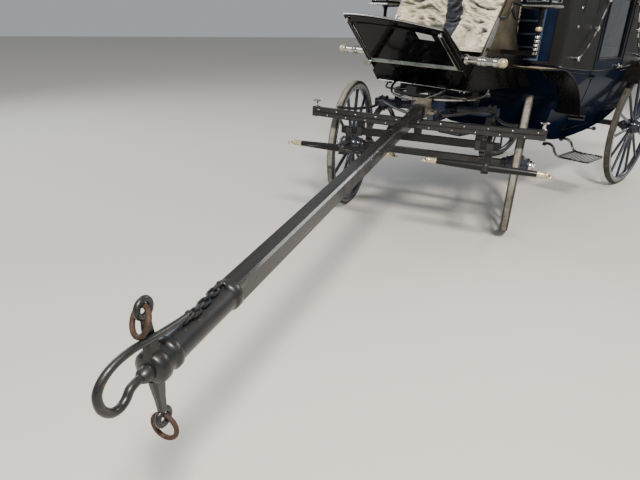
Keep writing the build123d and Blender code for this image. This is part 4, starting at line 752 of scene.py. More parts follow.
def splinter_front(x, out=0.0):
    """A point on the splinter bar's bowed front face."""
    return BAR_Y - BAR_SAG + BAR_R - math.sqrt(BAR_R ** 2 - x * x) - out


plate = Piece("splinter_plates")
for z in (848, 881):
    plate.swept([(x, splinter_front(x, 1.0), z) for x in range(-826, 827, 59)], strip(4, 26, 1), across=Y)
for side in SIDES:
    plate.block((44, 52, 71), at(side * 812, -509, BAR_Z))
plate.made(black_iron, "fore_carriage", ease=1.2)
# the iron rivet heads are drawn in bright nickel so that they show as glints: painted glints
heads("splinter_rivets", [((x, splinter_front(x, 3.2), BAR_Z + 16.5 * (-1) ** i), -Y)
                          for i, x in enumerate(range(-780, 781, 78))], 7, 4, nickel, "fore_carriage")

knob = Piece("roller_bolt_heads")
for side in SIDES:
    stem = stand((side * 809, -509, 897), Z)
    knob.turned([(0, -2), (17, -2), (18, 3), (14, 6), (11, 9), (10.5, 34), (14, 39), (28, 41), (31, 44),
                 (30, 48), (20, 52), (0, 53.5)], stem, 28)
    knob.turned([(0, -78), (9, -78), (9, -71), (14, -71), (14, -64), (0, -64)], stem, 6)
knob.made(nickel, "fore_carriage", instead=("roller_bolts",))

straps = Piece("bed_straps")
for x in (-SPRING_X, SPRING_X):
    straps.block((62, 96, 6), at(x, 0, 938))
    for y in (-42, 42):
        for inset in (-20, 20):
            straps.bolt(stand((x + inset, y * 0.7, 940), Z), 10, 12)
for side in SIDES:
    for y in (-560, -490):
        straps.bolt(stand((side * 80, y, 948), Z), 11, 13)
for x in (-420, 420):
    hanger = ((-624, 740), (-624, 800), (-560, 800), (-560, 740), (-624, 738))
    straps.swept([(x, y, z) for y, z in hanger], strip(34, 5), across=X)
straps.made(black_iron, "fore_carriage", smooth=30, ease=1.0)

# curved brace irons from the axle bed to the futchells, seen under the dash
brace = Piece("bed_braces")
brace.pair([(470, -20, 903), (380, -190, 935), (240, -330, 915), (120, -430, 905)], rod(15, 12, 0.75), 8)
brace.pair([(640, -500, 905), (560, -330, 880), (500, -120, 870), (470, -30, 880)], rod(11), 8)
brace.made(black_iron, "fore_carriage")

# the ring's rubbing edge is a bright nickel band: painted highlight
ring_highlight = Piece("turntable_highlight_edge")
ring_highlight.turned([(338, 996.5), (339.4, 997.5), (339.4, 1007.5), (338, 1008.5)], at(0, 0, 0), 96, loop=True)
ring_highlight.made(nickel, "fore_carriage")

# Swingletrees: shaved round bars with iron ends and trace rings
TREE_Y, TREE_Z = -750, 660
for name, x in (("near", 500), ("off", -500)):
    body = "swingletree_" + name
    middle = Vector((x, TREE_Y, TREE_Z))
    bar = Piece(body + "_bar")
    bar.turned(even((27, 0), (26.5, 40), (25, 120), (21.5, 240), (18, 340), (15, 372), (0, 372)),
               stand(middle, X, Y), 28)
    bar.made(bar_timber, body, instead=(body,))
    irons, caps, rings = Piece(body + "_irons"), Piece(body + "_caps"), Piece(body + "_trace_rings")
    irons.turned(even((30, 21), (27, 25), (9.1, 25)), stand(middle, Z), 32, loop=True)
    for end in SIDES:
        caps.turned([(16, -4), (21, -4), (22, 4), (20, 9), (18.5, 30), (19, 46), (21, 50), (20, 58), (15, 66),
                     (8, 69), (0, 69)], stand(middle + X * end * 322, (end, 0, 0), Y), 24)
        nose = [middle + Vector((end * out, y, 0)) for out, y in ((384, -2), (392, -12), (396, -13))]
        irons.swept(through(nose, 4), rod(8))
        rings.rung(middle + Vector((end * 396, -30, 0)), X, Y, 18.5, rod(5.5), Z, 28)
    irons.made(black_iron, body)
    caps.made(pale_brass, body)
    rings.made(pale_brass, body)

# Pole head: sleeve, crab, loop hook, rings and chain
SLEEVE_AT = POLE_LENGTH - 360


def pole_spot(along, up=0.0, x=0.0):
    """A point along the pole's line from its rear end, lifted square to it."""
    return POLE_REAR + POLE * along + POLE_UP * up + X * x


sleeve = Piece("pole_sleeve_iron")
place = stand(pole_spot(SLEEVE_AT), POLE, X)
sleeve.turned([(33, -2), (44, -2), (47, 2), (47.5, 14), (47, 26), (44, 30), (41, 33), (40, 120), (40, 279),
               (44, 284), (46.5, 288), (46.5, 302), (44, 306), (40, 310), (39.5, 326), (43, 329), (46.5, 334),
               (47, 346), (46, 358), (42, 364), (30, 368), (0, 370)], place, 48)
sleeve.made(head_iron, "fore_carriage", instead=("pole_sleeve",))

arm = Piece("crab_arm")
CRAB_AT = POLE_LENGTH - 14
for way in SIDES:
    stops = [pole_spot(CRAB_AT, way * up) for up in (34, 60, 100, 132, 146)]
    arm.swept(stops, strip(34, 22, 6), across=POLE, taper=(1.35, 1.2, 0.92, 0.8, 0.78))
    arm.rung(pole_spot(CRAB_AT, way * 168), POLE_UP, POLE, 22, rod(8.5, 12), X)
# nose boss that the hook's end is forged into
arm.turned([(0, 6), (22, 6), (23, 12), (21, 20), (20, 28), (15, 35), (0, 37)], stand(POLE_TIP, POLE, X), 28)
arm.made(head_iron, "fore_carriage", instead=("crab",))

hook = Piece("pole_loop_hook")
run = through([(13, -3284, 822), (16, -3330, 828), (18, -3380, 835), (18, -3430, 842), (14, -3480, 846),
               (8, -3526, 838), (3, -3560, 818), (0, -3577, 788), (0, -3572, 750), (0, -3550, 722),
               (0, -3524, 714), (0, -3502, 723), (0, -3484, 740), (0, -3452, 745)], 7)
grow = [0.78 + 0.36 * min(1.0, 1.6 * i / (len(run) - 1)) for i in range(len(run))]
hook.swept(run, rod(10, 14), taper=grow)
hook.turned(even((12, 3), (11, 6), (5, 6)), stand((12, -3275, 820), X), 20, loop=True)
hook.made(head_iron, "fore_carriage", instead=("pole_hook",))

loose = Piece("crab_ring_irons")
for up, tilt, twist, radius, thick in ((168, -28, 24, 36, 6.8), (-168, 0, 0, 37, 6.6)):
    hang = Matrix.Rotation(math.radians(tilt), 3, "X") @ -Z
    wide = Matrix.Rotation(math.radians(twist), 3, hang) @ X
    centre = pole_spot(CRAB_AT, up) + hang * (radius - 6)
    loose.rung(centre, -hang, wide, radius, rod(thick, 12), hang.cross(wide), 40)
loose.made(rusty_iron, "fore_carriage", instead=("crab_rings",))

# worn links lie along the sleeve and tie the hook's tail to a staple behind the sleeve's collar
chain = Piece("pole_chain")
CHAIN_UP, LINK_LONG, LINK_WIDE = 43, 40, 23
oval = [(math.copysign((LINK_LONG - LINK_WIDE) / 2, c) + LINK_WIDE / 2 * c, LINK_WIDE / 2 * s)
        for c, s in (polar(1, a) for a in turns(24))]
for i, (up, out) in enumerate(((9, 12), (11, 10), (8, 8), (9, 5), (8, 2), (9, 0), (10, 0))):
    centre = pole_spot(SLEEVE_AT + 214 - 26 * i, CHAIN_UP + up, out)
    flat = X if i % 2 else (X * 0.5 + POLE_UP * 0.85).normalized()
    link = [centre + POLE * u + flat * v for u, v in oval]
    chain.swept(link, rod(4.4, 8), across=POLE.cross(flat), closed=True)
staple = [polar(1, math.pi * k / 10) for k in range(11)]
chain.swept([pole_spot(SLEEVE_AT + 40, 44 + 14 * s, 15 * c) for c, s in staple], rod(5.5))
chain.made(head_iron, "fore_carriage")

# the band behind the pole socket, and the bolts
band = Piece("pole_bands")
corner = [(-37, -41), (37, -41), (41, -37), (41, 37), (37, 41), (-37, 41), (-41, 37), (-41, -37)]
for along in (178, 215):
    place = stand(pole_spot(along), POLE, X)
    band.swept([place @ Vector((u, v, 0)) for u, v in corner], strip(22, 4, 1), across=POLE, closed=True)
band.made(black_iron, "fore_carriage", ease=0.6)
heads("pole_socket_bolts", [(pole_spot(along, up, side * 46), (side, 0, 0))
                            for side in SIDES for along in (45, 150) for up in (-22, 22)],
      9, 7, black_iron, "fore_carriage")
heads("pole_top_bolts", [(pole_spot(along, 46), Z) for along in (198, 206, 520, 900)],
      8, 5, black_iron, "fore_carriage")

# Body trims: belt moulding, door and panel beads
MID, HALF_DOOR, HALF_W = 1560, 310, 662
BELT_END, BELT_LOW, BELT_SAG = 445, 1188, 74
BELT_R = ((MID - BELT_END) ** 2 + BELT_SAG ** 2) / (2 * BELT_SAG)


def belt(y):
    return BELT_LOW + BELT_R - math.sqrt(BELT_R ** 2 - (y - MID) ** 2)


def belt_run(surface, centre_y, from_angle, to_angle, steps, drop=0.0):
    """The belt line laid round a quarter of the body, by angle from the near side."""
    path = []
    for k in range(steps + 1):
        a = math.radians(from_angle + (to_angle - from_angle) * k / steps)
        way = Vector((*polar(-1, a), 0))
        z = 1230
        for _ in range(3):
            hit = laid(surface, Vector((0, centre_y, z - drop)) - way * 1500, way)
            if hit is None:
                break
            z = belt(min(max(hit[0].y, BELT_END + 2), 2 * MID - BELT_END - 2))
        if hit:
            path.append(hit)
    return path


def bead(name, runs, radius, body="carriage"):
    """A half-round moulding along paths laid on the body."""
    piece = Piece(name)
    for run in runs:
        if len(run) > 1:
            piece.swept([p for p, _ in run], rod(radius, 8, 0.7), across=run[0][1])
    return piece.made(black_varnish, body)


front_skin, rear_skin = skin("front_body", "head_front"), skin("rear_body", "head_rear")
FRONT_ROUND_Y, REAR_ROUND_Y, LINE_DROP = 1245, 1875, 26
high_belt, low_belt = ([belt_run(front_skin, FRONT_ROUND_Y, 0, -61, 40, drop),
                        belt_run(front_skin, FRONT_ROUND_Y, 180, 241, 40, drop),
                        belt_run(rear_skin, REAR_ROUND_Y, 0, 180, 110, drop)] for drop in (0.0, LINE_DROP))
bead("belt_moulding", high_belt, 8)
bead("belt_line", low_belt, 2.6)


def on_side(surface, side, spots):
    """Points of (y, z) laid on the body's near or off side."""
    path = [laid(surface, (side * 1200, y, z), (-side, 0, 0)) for y, z in spots]
    return [p for p in path if p]


def upright(surface, side, y, low, high, steps=30):
    """A line up the body's side at y."""
    return on_side(surface, side, [(y, low + (high - low) * k / steps) for k in range(steps + 1)])


def along_side(surface, side, y0, y1, height, steps=24):
    """A line along the body's side, its height given by y."""
    ys = [y0 + (y1 - y0) * k / steps for k in range(steps + 1)]
    return on_side(surface, side, [(y, height(y)) for y in ys])


def opening(inset, low, high):
    """The four corners of an upright opening in the door."""
    a, b = MID - HALF_DOOR + inset, MID + HALF_DOOR - inset
    return (a, low), (b, low), (b, high), (a, high)


PANEL_LOW, PANEL_HIGH, HANDLE_Z = 668, 1170, 1212
for name, side in (("near", 1), ("off", -1)):
    body = "door_" + name
    door_skin = skin(body)
    y0, y1 = MID - HALF_DOOR + 8, MID + HALF_DOOR - 8
    bead(body + "_belt", [along_side(door_skin, side, y0, y1, belt)], 8, body)
    # raised edge beads round the lower panel and the window
    edges = [upright(door_skin, side, y, PANEL_LOW, PANEL_HIGH) for y in (y0 + 10, y1 - 10)]
    edges.append(along_side(door_skin, side, y0 + 10, y1 - 10, lambda y: PANEL_LOW))
    bead(body + "_panel_bead", edges, 3.2, body)
    for part, inset, low, high, x, section, ease in (
            ("_sash", 52, 1275, 1768, HALF_W - 6, strip(20, 22, 4), 2.0),
            ("_glass_bead", 68, 1291, 1752, HALF_W - 11, rod(4, 8), 0.0)):
        lining = Piece(body + part)
        lining.swept([(side * x, y, z) for y, z in opening(inset, low, high)], section, across=X, closed=True)
        lining.made(black_varnish, body, ease=ease)
    # nickel drop handle on a round rose
    grip = Piece(body + "_handle")
    grip.turned([(0, 0), (22, 0), (24, 3), (20, 6), (13, 8), (12, 30), (14, 33), (0, 36)],
                stand((side * (HALF_W - 1), 1808, HANDLE_Z), (side, 0, 0), Y), 28)
    grip.swept([(side * (HALF_W + 22), 1738 + 10 * k, HANDLE_Z + 1.5 * math.sin(k * 0.9)) for k in range(10)],
               rod(9.6, 12), taper=(0.55, 0.95, 1, 0.98, 0.96, 0.98, 1.02, 1.05, 1, 0.6))
    grip.made(nickel, body)


# Head: bows under the leather, welts, studs and a nail row along the belt
ROOF_CENTRE_Z, NAIL_PITCH, NAIL_RISE = 1560, 24, 16


def over_roof(surface, y, reach, steps=56):
    """A line over the head at y, so many degrees of it, from the near side to the off side."""
    path = []
    for k in range(steps + 1):
        a = math.radians(90 + 1.12 * reach * (k / steps - 0.5))
        way = Vector((-math.cos(a), 0, -math.sin(a)))
        path.append(laid(surface, Vector((0, y, ROOF_CENTRE_Z)) - way * 1400, way))
    return [p for p in path if p]


for name, surface, ys in (("front", front_skin, (620, 860, 1090)), ("rear", rear_skin, (2500, 2260, 2030))):
    bows = Piece("head_bows_" + name)
    for y in ys:
        bows.swept([p - n * 7 for p, n in over_roof(surface, y, 150)], rod(13), across=Y)
    bows.made(hood_leather, smooth=60)
seam = Piece("head_meeting_welt")
for surface, y in ((front_skin, 1551), (rear_skin, 1569)):
    seam.swept([p for p, _ in over_roof(surface, y, 128)], rod(7, 8, 0.7), across=Y)
seam.made(black_varnish)
welt = Piece("head_door_welts")
for side in SIDES:
    for surface, end in ((front_skin, -1), (rear_skin, 1)):
        y = MID + end * (HALF_DOOR + 8)
        for run in (upright(surface, side, y, belt(y) + 10, 1985, 40),
                    along_side(surface, side, y - end * 4, MID + end * 6, lambda y: 1838, 12)):
            welt.swept([p for p, _ in run], rod(6, 8, 0.7), across=X)
welt.made(black_varnish)
studs = []
for side in SIDES:
    studs += on_side(front_skin, side, ((816, 1657), (810, 1524)))
    studs += on_side(rear_skin, side, ((2304, 1657), (2310, 1524)))
heads("head_studs", studs, 11, 7, nickel)
nails = []
for run in high_belt:
    gap = 0.0
    for (p, n), (q, _) in zip(run, run[1:]):
        gap += (q - p).length
        if gap > NAIL_PITCH:
            gap = 0.0
            nails.append((p + Z * NAIL_RISE, n))
heads("head_nails", nails, 3.4, 2.4, black_iron)

# Landau irons: bent rods with bright joints
rods, joints = Piece("landau_rods"), Piece("landau_joints")
for side in SIDES:
    out = (side, 0, 0)
    for end in SIDES:
        low, knee, high = (Vector((side * (HALF_W + 17), MID + end * y, z))
                           for y, z in ((716, 1296), (471, 1515), (346, 1730)))
        lower = bow(low, (low + knee) / 2 + Vector((0, -24 * end, -8)), knee, 20)
        rods.swept(lower, rod(6.5), taper=[1.15 - 0.3 * math.sin(math.pi * k / 20) for k in range(21)])
        middle = (knee + high) / 2
        rods.swept(through([knee, middle, high]), rod(6))
        joints.turned(even((19, 9), (16, 12), (0, 12)), stand(knee, out), 24)
        joints.turned([(0, 12), (9, 12), (9, 16), (6, 19), (0, 20)], stand(knee, out), 16)
        for spot in (low, high):
            joints.turned([(13, -62), (13, -20), (17, -18), (19, -12), (19, 6), (15, 12), (7, 15), (0, 16)],
                          stand(spot, out), 24)
        for i in (2, 10, 17):
            ring = [(5, -22), (8.5, -21), (8, 0), (8.5, 21), (5, 22)]
            joints.turned(ring, stand(lower[i], lower[i + 1] - lower[i - 1]), 18)
        joints.turned([(5, -44), (8.2, -43), (8.2, 43), (5, 44)], stand(middle, high - knee), 18)
rods.made(black_iron, instead=("landau_irons",))
joints.made(nickel)

# Front window: sash bars across the upper front
bars = Piece("front_window_bars")
pane = skin("front_window_glass")
for z in (1371, 1462, 1553, 1645, 1737, 1779):
    path = [laid(pane, (x, -400, z), Y) for x in range(-325, 326, 65)]
    path = [p for p in path if p]
    if len(path) > 1:
        bars.swept([p - Y * 6 for p, _ in path], strip(16, 14, 3), across=Y)
for x in (-326, 0, 326):
    bars.swept([(x, 439 if z < 1500 else 436, z) for z in range(1366, 1787, 42)], strip(26, 18, 4), across=X)
bars.made(navy_varnish, smooth=30, ease=1.0)

# painted front quarters: navy panels with rails beside the window, edged where the leather starts
quarters, rails, edges = (Piece("front_quarter_" + part) for part in ("panels", "rails", "beads"))
COLUMNS, ROWS, RAIL_COLUMN = 13, 25, 8
QUARTER_FROM, QUARTER_WIDE, QUARTER_LOW, QUARTER_HIGH = 31.4, 20.1, 1278, 1760


def quarter(side, angle, z):
    """A point on the front quarter, by angle from straight ahead."""
    a = math.radians(angle)
    out = Vector((side * math.sin(a), -math.cos(a), 0))
    return laid(front_skin, Vector((0, 1000, z)) + out * 1500, -out)


for side in SIDES:
    angles = [QUARTER_FROM + QUARTER_WIDE * k / (COLUMNS - 1) for k in range(COLUMNS)]
    levels = [QUARTER_LOW + (QUARTER_HIGH - QUARTER_LOW) * r / (ROWS - 1) for r in range(ROWS)]
    grid = [[quarter(side, a, z) for a in angles] for z in levels]
    if all(cell for row in grid for cell in row):
        spots = [p + n * out for out in (0.2, 1.6) for row in grid for p, n in row]
        quarters.join(spots, patches(ROWS, COLUMNS) + patches(ROWS, COLUMNS, COLUMNS * ROWS))
        edges.swept([row[-1][0] for row in grid], rod(5.5, 8), across=(side, 0, 0))
        rails.swept([row[RAIL_COLUMN][0] for row in grid], rod(6.5, 8), across=(side, 0, 0))
        for z in (1284, 1370, 1462, 1553, 1645, 1737):
            level = [quarter(side, a, z)[0] for a in angles[:RAIL_COLUMN + 1]]
            rails.swept(level, strip(13, 12, 3), across=Z)
quarters.made(navy_varnish, smooth=50)
rails.made(rail_paint_sky_reflection, smooth=30)
edges.made(black_varnish)

# Driver's box: beads, seat irons, lamp brackets, toe bolts
BOX_X, BOX_IRON_X = 436, 444
cheek, seat_iron, forks = Piece("box_side_beads"), Piece("seat_side_irons"), Piece("lamp_bracket_irons")
curve = bow((BOX_X, 240, 1640), (BOX_X, 300, 1400), (BOX_X, 445, 1256), 14)
edge = [(-222, 1080), (-282, 1150), (-177, 1293), (80, 1725), (240, 1725), (240, 1640)]
cheek.pair([(BOX_X, y, z) for y, z in edge] + curve[1:] + [(BOX_X, 560, 1190)], rod(4.5, 8), across=X)
rise = ((-168, 1296), (-130, 1352), (-92, 1418), (-58, 1490), (-30, 1560))
seat_iron.pair([(BOX_IRON_X, y, z) for y, z in rise], strip(46, 5, 2), 5, across=(0, 1, -0.5),
               taper=[0.4 + 0.7 * math.sin(math.pi * min(max(k / 20, 0.02), 0.98)) for k in range(21)])
# forked irons on the box sides, with an arm out to each lamp
for leg in (((-26, 1568), (30, 1566), (70, 1578), (97, 1603), (118, 1632), (124, 1664)),
            ((241, 1562), (212, 1563), (186, 1574), (160, 1598), (135, 1632), (128, 1664))):
    forks.pair([(BOX_IRON_X, y, z) for y, z in leg], rod(9), 6)
forks.pair([(BOX_IRON_X, 126, 1662), (500, 118, 1652), (560, 104, 1632), (648, 92, 1628)], rod(10), 6)
cheek.made(black_varnish)
seat_iron.made(nickel)
forks.made(black_iron)
heads("toe_bolts", [((x, -205, 1072), -Z) for x in (330, 365, -330, -365)], 8, 12, nickel)

# Dash: raised frame, top rail, knobs and a blank label
DASH_FOOT, DASH_TOP = Vector((0, -345, 1226)), Vector((0, -667, 1520))
DASH_WAY = (DASH_TOP - DASH_FOOT).normalized()
DASH_L = (DASH_TOP - DASH_FOOT).length
DASH_OUT = X.cross(DASH_WAY)
DASH_HALF, DASH_SAG = 432, 26


def racked(spot):
    """The old dash is out of true: its near corner hangs, its off corner stands up."""
    up = (spot - DASH_FOOT).dot(DASH_WAY)
    return spot - Z * (spot.x * 0.09 * min(max((up - 110) / 320, 0.0), 1.0))


def on_dash(u, v, out=0.0):
    """A point on the dash, so far across it, up it and in front of it."""
    return racked(DASH_FOOT + X * u + DASH_WAY * v + DASH_OUT * out)


panel = Piece("dash_panel")
solid = NODES["dash"].data
panel.join([racked(BODY.inverted() @ v.co) for v in solid.vertices],
           [list(face.vertices) for face in solid.polygons])
panel.made(patent, smooth=25, ease=1.5, instead=("dash",))
# a grey-green strip along the dash's foot: painted sky reflection
ledge = Piece("dash_ledge")
ledge.swept([on_dash(u, 14) for u in (-390, 390)], [(0, 0), (0, 12), (21, 0)], across=DASH_WAY)
ledge.made(patent_sky_reflection, smooth=25)

crown = bow((-DASH_HALF, DASH_L - DASH_SAG, 0), (0, DASH_L, 0), (DASH_HALF, DASH_L - DASH_SAG, 0), 24)
rolled, top_rail, inner_frame, dash_highlight_beads = (
    Piece("dash_" + part) for part in ("edge_roll", "top_rail", "inner_frame", "side_beads"))
rolled.swept([on_dash(-DASH_HALF, 6, -8)] + [on_dash(p.x, p.y - 2, -8) for p in crown]
             + [on_dash(DASH_HALF, 6, -8)], rod(10))
rolled.made(patent)
top_rail.swept([on_dash(p.x, p.y + 8, -9) for p in crown], rod(6.5))
top_rail.made(nickel)
FRAME_X = 392
inner_frame.swept([on_dash(-FRAME_X, v, 2) for v in (14, DASH_L - 78)]
                  + [on_dash(p.x * FRAME_X / DASH_HALF, p.y - 54, 2) for p in crown[1:-1]]
                  + [on_dash(FRAME_X, v, 2) for v in (DASH_L - 78, 14)], rod(6, 8))
inner_frame.made(patent)
# bright nickel beads beside the frame's sides, along the dash's foot and across the toe board: painted
# highlights on the frame's edges
for side in SIDES:
    dash_highlight_beads.swept([on_dash(side * 380, v, 3) for v in (16, DASH_L - 92)], rod(3.2, 8))
dash_highlight_beads.swept([on_dash(-424, 4, 4), on_dash(424, 4, 4)], rod(3.2, 8))
dash_highlight_beads.swept([(-418, -226, 1080), (418, -226, 1080)], rod(2.6, 8))
dash_highlight_beads.made(nickel)
knobs = Piece("dash_knobs")
for side in SIDES:
    knobs.turned([(0, 0), (9, 0), (7, 5), (12, 10), (14, 16), (12, 22), (6, 26), (0, 27)],
                 stand(on_dash(side * 410, DASH_L - 50), DASH_OUT), 20)
knobs.made(nickel)
card = Piece("dash_label")
card.lofted([on_dash(258 + u, DASH_L - 104 + v, out) for out in (0.2, 1.4)
             for u, v in ((-62, -37), (62, -37), (62, 37), (-62, 37))], 4)
card.made(label_card, ease=0.3)
peg = Piece("toe_peg")
peg.turned([(0, -20), (9, -20), (9, 30), (12, 34), (12, 40), (8, 44), (0, 45)],
           stand((-424, -352, 1206), -X), 18)
peg.made(pale_brass)
for name, x in (("near", 408), ("off", -408)):
    stitched("dash_stitches_" + name, [on_dash(x, 20, 0.6), on_dash(x, DASH_L - 60, 0.6)], 9, 1.1)

# cross tube: turned collars and pale domed caps
ends, turnings, tube = (Piece("cross_tube_" + part) for part in ("caps", "turnings", "round"))
TUBE = Vector((0, -360, 1298))
tube.turned([(0, -728), (23.4, -728), (23.4, 728), (0, 728)], stand(TUBE, X), 40)
for side in SIDES:
    ends.turned([(23, -12), (27, -12), (29, -6), (29, 14), (26, 24), (18, 32), (8, 36), (0, 37)],
                stand(TUBE + X * side * 700, (side, 0, 0)), 32)
    for out in (660, 580, 550, 450):
        turnings.turned(even((27, 0), (29.5, 5), (27, 10), (22, 10)),
                        stand(TUBE + X * side * out, (side, 0, 0)), 32, loop=True)
tube.made(nickel, instead=("cross_tube",))
ends.made(pale_brass)
turnings.made(nickel)

# bracket knob and leaf-shaped scroll under the toe board
scroll = Piece("toe_scrolls")
scroll.pair([(457, -34, 1086), (446, -80, 1040), (360, -190, 1024), (220, -240, 1030), (90, -252, 1048),
             (30, -250, 1070)], rod(8), 7)
for side in SIDES:
    scroll.turned(even((21, 0), (19, 8), (12, 16), (0, 18)), at(side * 457, -34, 1052), 20)
scroll.made(black_iron)
# a curved flat iron hangs from the boot before the ring, with a bright nickel rod along its front edge:
# painted highlight
loop, shine = Piece("boot_loop_iron"), Piece("boot_loop_highlight_edge")
arc = through([(-240, -230, 1086), (-218, -296, 1048), (-150, -366, 1012), (-40, -402, 998), (60, -404, 998),
               (150, -380, 1012), (222, -308, 1048), (246, -232, 1086)], 6)
loop.swept(arc, strip(10, 16, 2), across=Z)
shine.swept([spot - Y * 9 + Z * 2 for spot in arc], rod(4.4, 8))
loop.made(black_iron)
shine.made(nickel)

# wings: wired edges
WING_OUT, FRONT_WING_IN, REAR_WING_IN = 799, 586, 668
REAR_WING_R, REAR_WING_Z, REAR_WING_START, REAR_WING_END = 687, 605, 42, 150
wire, hoop = Piece("front_wing_wires"), Piece("rear_wing_wires")


def rear_wing(x, angle):
    out, up = polar(REAR_WING_R, math.radians(angle))
    return x, REAR_Y - out, REAR_WING_Z + up


line = [Vector((0, -50, 1259))] + bow((0, 330, 1245), (0, 625, 1122), (0, 830, 877), 18)
for x in (FRONT_WING_IN, WING_OUT):
    wire.pair([(x, p.y, p.z) for p in line], rod(6, 8))
for x, y, z in ((FRONT_WING_IN, -50, 1259), (640, 827, 878)):
    wire.pair([(x, y, z), (WING_OUT, y, z)], rod(6, 8))
for x in (REAR_WING_IN, WING_OUT):
    hoop.pair([rear_wing(x, a) for a in range(REAR_WING_START, REAR_WING_END + 1, 4)], rod(6, 8))
for a in (REAR_WING_START, REAR_WING_END):
    hoop.pair([rear_wing(REAR_WING_IN, a), rear_wing(WING_OUT, a)], rod(6, 8))
wire.made(patent)
hoop.made(patent)

# Lamps: bright frames, candles, crowns and ringed stems
bright, shaft, cream, candle = (
    Piece("lamp_" + part) for part in ("frames", "shafts", "stem_rings", "candles"))


def square(place, u, v, section):
    """A closed square frame about a place."""
    corners = [place @ Vector((a * u, b * v, 0)) for a, b in ((-1, -1), (1, -1), (1, 1), (-1, 1))]
    bright.swept(corners, section, across=place.to_3x3() @ Z, closed=True)


LAMP_X, LAMP_Y = 680, 90
for side in SIDES:
    x, y = side * LAMP_X, LAMP_Y
    for quarter_turn in range(4):
        face = Matrix.Rotation(quarter_turn * math.pi / 2, 4, "Z") @ stand((86, 0, 0), X, Y)
        square(at(x, y, 1760) @ face, 70, 95, strip(9, 9, 3))
    for z, r in ((1640, 92), (1882, 90)):
        square(at(x, y, z), r, r, rod(7, 8))
    bright.turned([(36, 0), (40, 2), (40, 8), (35, 11), (35, 38), (40, 41), (44, 47), (42, 52), (30, 60),
                   (10, 64), (6, 68), (9, 74), (7, 80), (0, 83)], at(x, y, 1920), 28)
    stem = at(x, y, 1330)
    shaft.turned([(0, -2), (14, -2), (14, 268), (22, 290), (40, 304), (60, 309), (0, 309)], stem, 28)
    for low in (6, 32, 58, 84, 110):
        ring = [(13, low), (16, low + 2), (18, low + 8), (18, low + 12), (16, low + 18), (13, low + 20)]
        bright.turned(ring, stem, 28, loop=True)
    cream.turned([(13, 158), (18, 159), (21, 165), (22, 171), (21, 177), (18, 183), (13, 184)],
                 stem, 28, loop=True)
    candle.turned([(0, 0), (13, 0), (13, 120), (9, 124), (0, 124)], at(x, y, 1662), 20)
bright.made(nickel)
shaft.made(black_varnish)
cream.made(pale_brass)
candle.made(wax)

# Steps: grated treads hung on curled irons
STEP_Z, STEP_X0, STEP_Y0, STEP_Y1 = 425, 384, 1259, 1611
grate, curls = Piece("step_treads"), Piece("step_hangers")
for side in SIDES:
    rim = ((540, 1256), (660, 1250), (780, 1256), (798, 1300), (798, 1435), (798, 1570), (780, 1614),
           (660, 1620), (540, 1614), (522, 1570), (522, 1435), (522, 1300))
    grate.swept(through([(side * x, y, STEP_Z) for x, y in rim], 4, closed=True), strip(9, 15, 2.5),
                across=(1, 0, 0.001), closed=True)
    for k in range(1, 11):
        x = side * (522 + 25.1 * k)
        grate.swept([(x, y, STEP_Z) for y in (1256, 1435, 1614)], strip(12, 6, 2), across=X)
    for y, way in ((STEP_Y0, -1), (STEP_Y1, 1)):
        hang = ((372, 0, 519), (425, 6, 527), (474, 13, 506), (497, 15, 464), (530, 8, 432), (590, -4, 424),
                (650, -4, 424))
        curls.swept(through([(side * x, y + way * bulge, z) for x, bulge, z in hang], 6), rod(13, 10, 0.8),
                    across=Y, taper=[1.2 - 0.45 * k / 36 for k in range(37)])
        curls.turned([(0, -14), (20, -14), (20, -4), (13, 4), (13, 12), (0, 12)],
                     at(side * STEP_X0, y, 519), 18)
    # a stay runs back from the rear hanger and up to the body, with a knobbed peg behind it
    foot = laid(rear_skin, (side * 418, 2168, 300), Z)
    if foot:
        stay = ((STEP_X0, STEP_Y1, 522), (398, 1650, 546), (410, 1860, 563), (416, 2080, 577),
                (418, 2146, 602))
        curls.swept(through([(side * x, y, z) for x, y, z in stay] + [foot[0] + Z * 4], 6), rod(13))
        curls.turned([(0, 0), (9, 0), (9, 205), (15, 212), (21, 222), (21, 236), (14, 246), (0, 250)],
                     stand((side * 416, 2080, 577), (0, 1, -0.12)), 18)
grate.made(black_iron, smooth=30, instead=("steps",))
curls.made(black_iron)
heads("step_bolts", [((side * STEP_X0, y, 505), -Z) for side in SIDES for y in (STEP_Y0, STEP_Y1)],
      9, 7, black_iron)

# rear frame bolts and clips
back = Piece("rear_frame_irons")
back.pair([(450, 2520, 950), (450, 2700, 956), (420, 2810, 975)], rod(11), 6)
for side in SIDES:
    back.block((58, 70, 8), at(side * 450, REAR_Y, 978))
back.made(black_iron, ease=0.8)


# Soft goods
def cloth_copy(name, node, voxel, shrink):
    """A node's solid as one closed skin of even squares, drawn in a little."""
    work = bmesh.new()
    work.from_mesh(NODES[node].data)
    bmesh.ops.remove_doubles(work, verts=work.verts, dist=0.0002)
    mesh = bpy.data.meshes.new(name)
    work.to_mesh(mesh)
    work.free()
    thing = shown(name, mesh)
    squares = thing.modifiers.new("even_squares", "REMESH")
    squares.mode = "VOXEL"
    squares.voxel_size = voxel
    plain = result(thing)
    thing.modifiers.remove(squares)
    thing.data = plain
    for corner in plain.vertices:
        corner.co -= corner.normal * shrink
    return thing


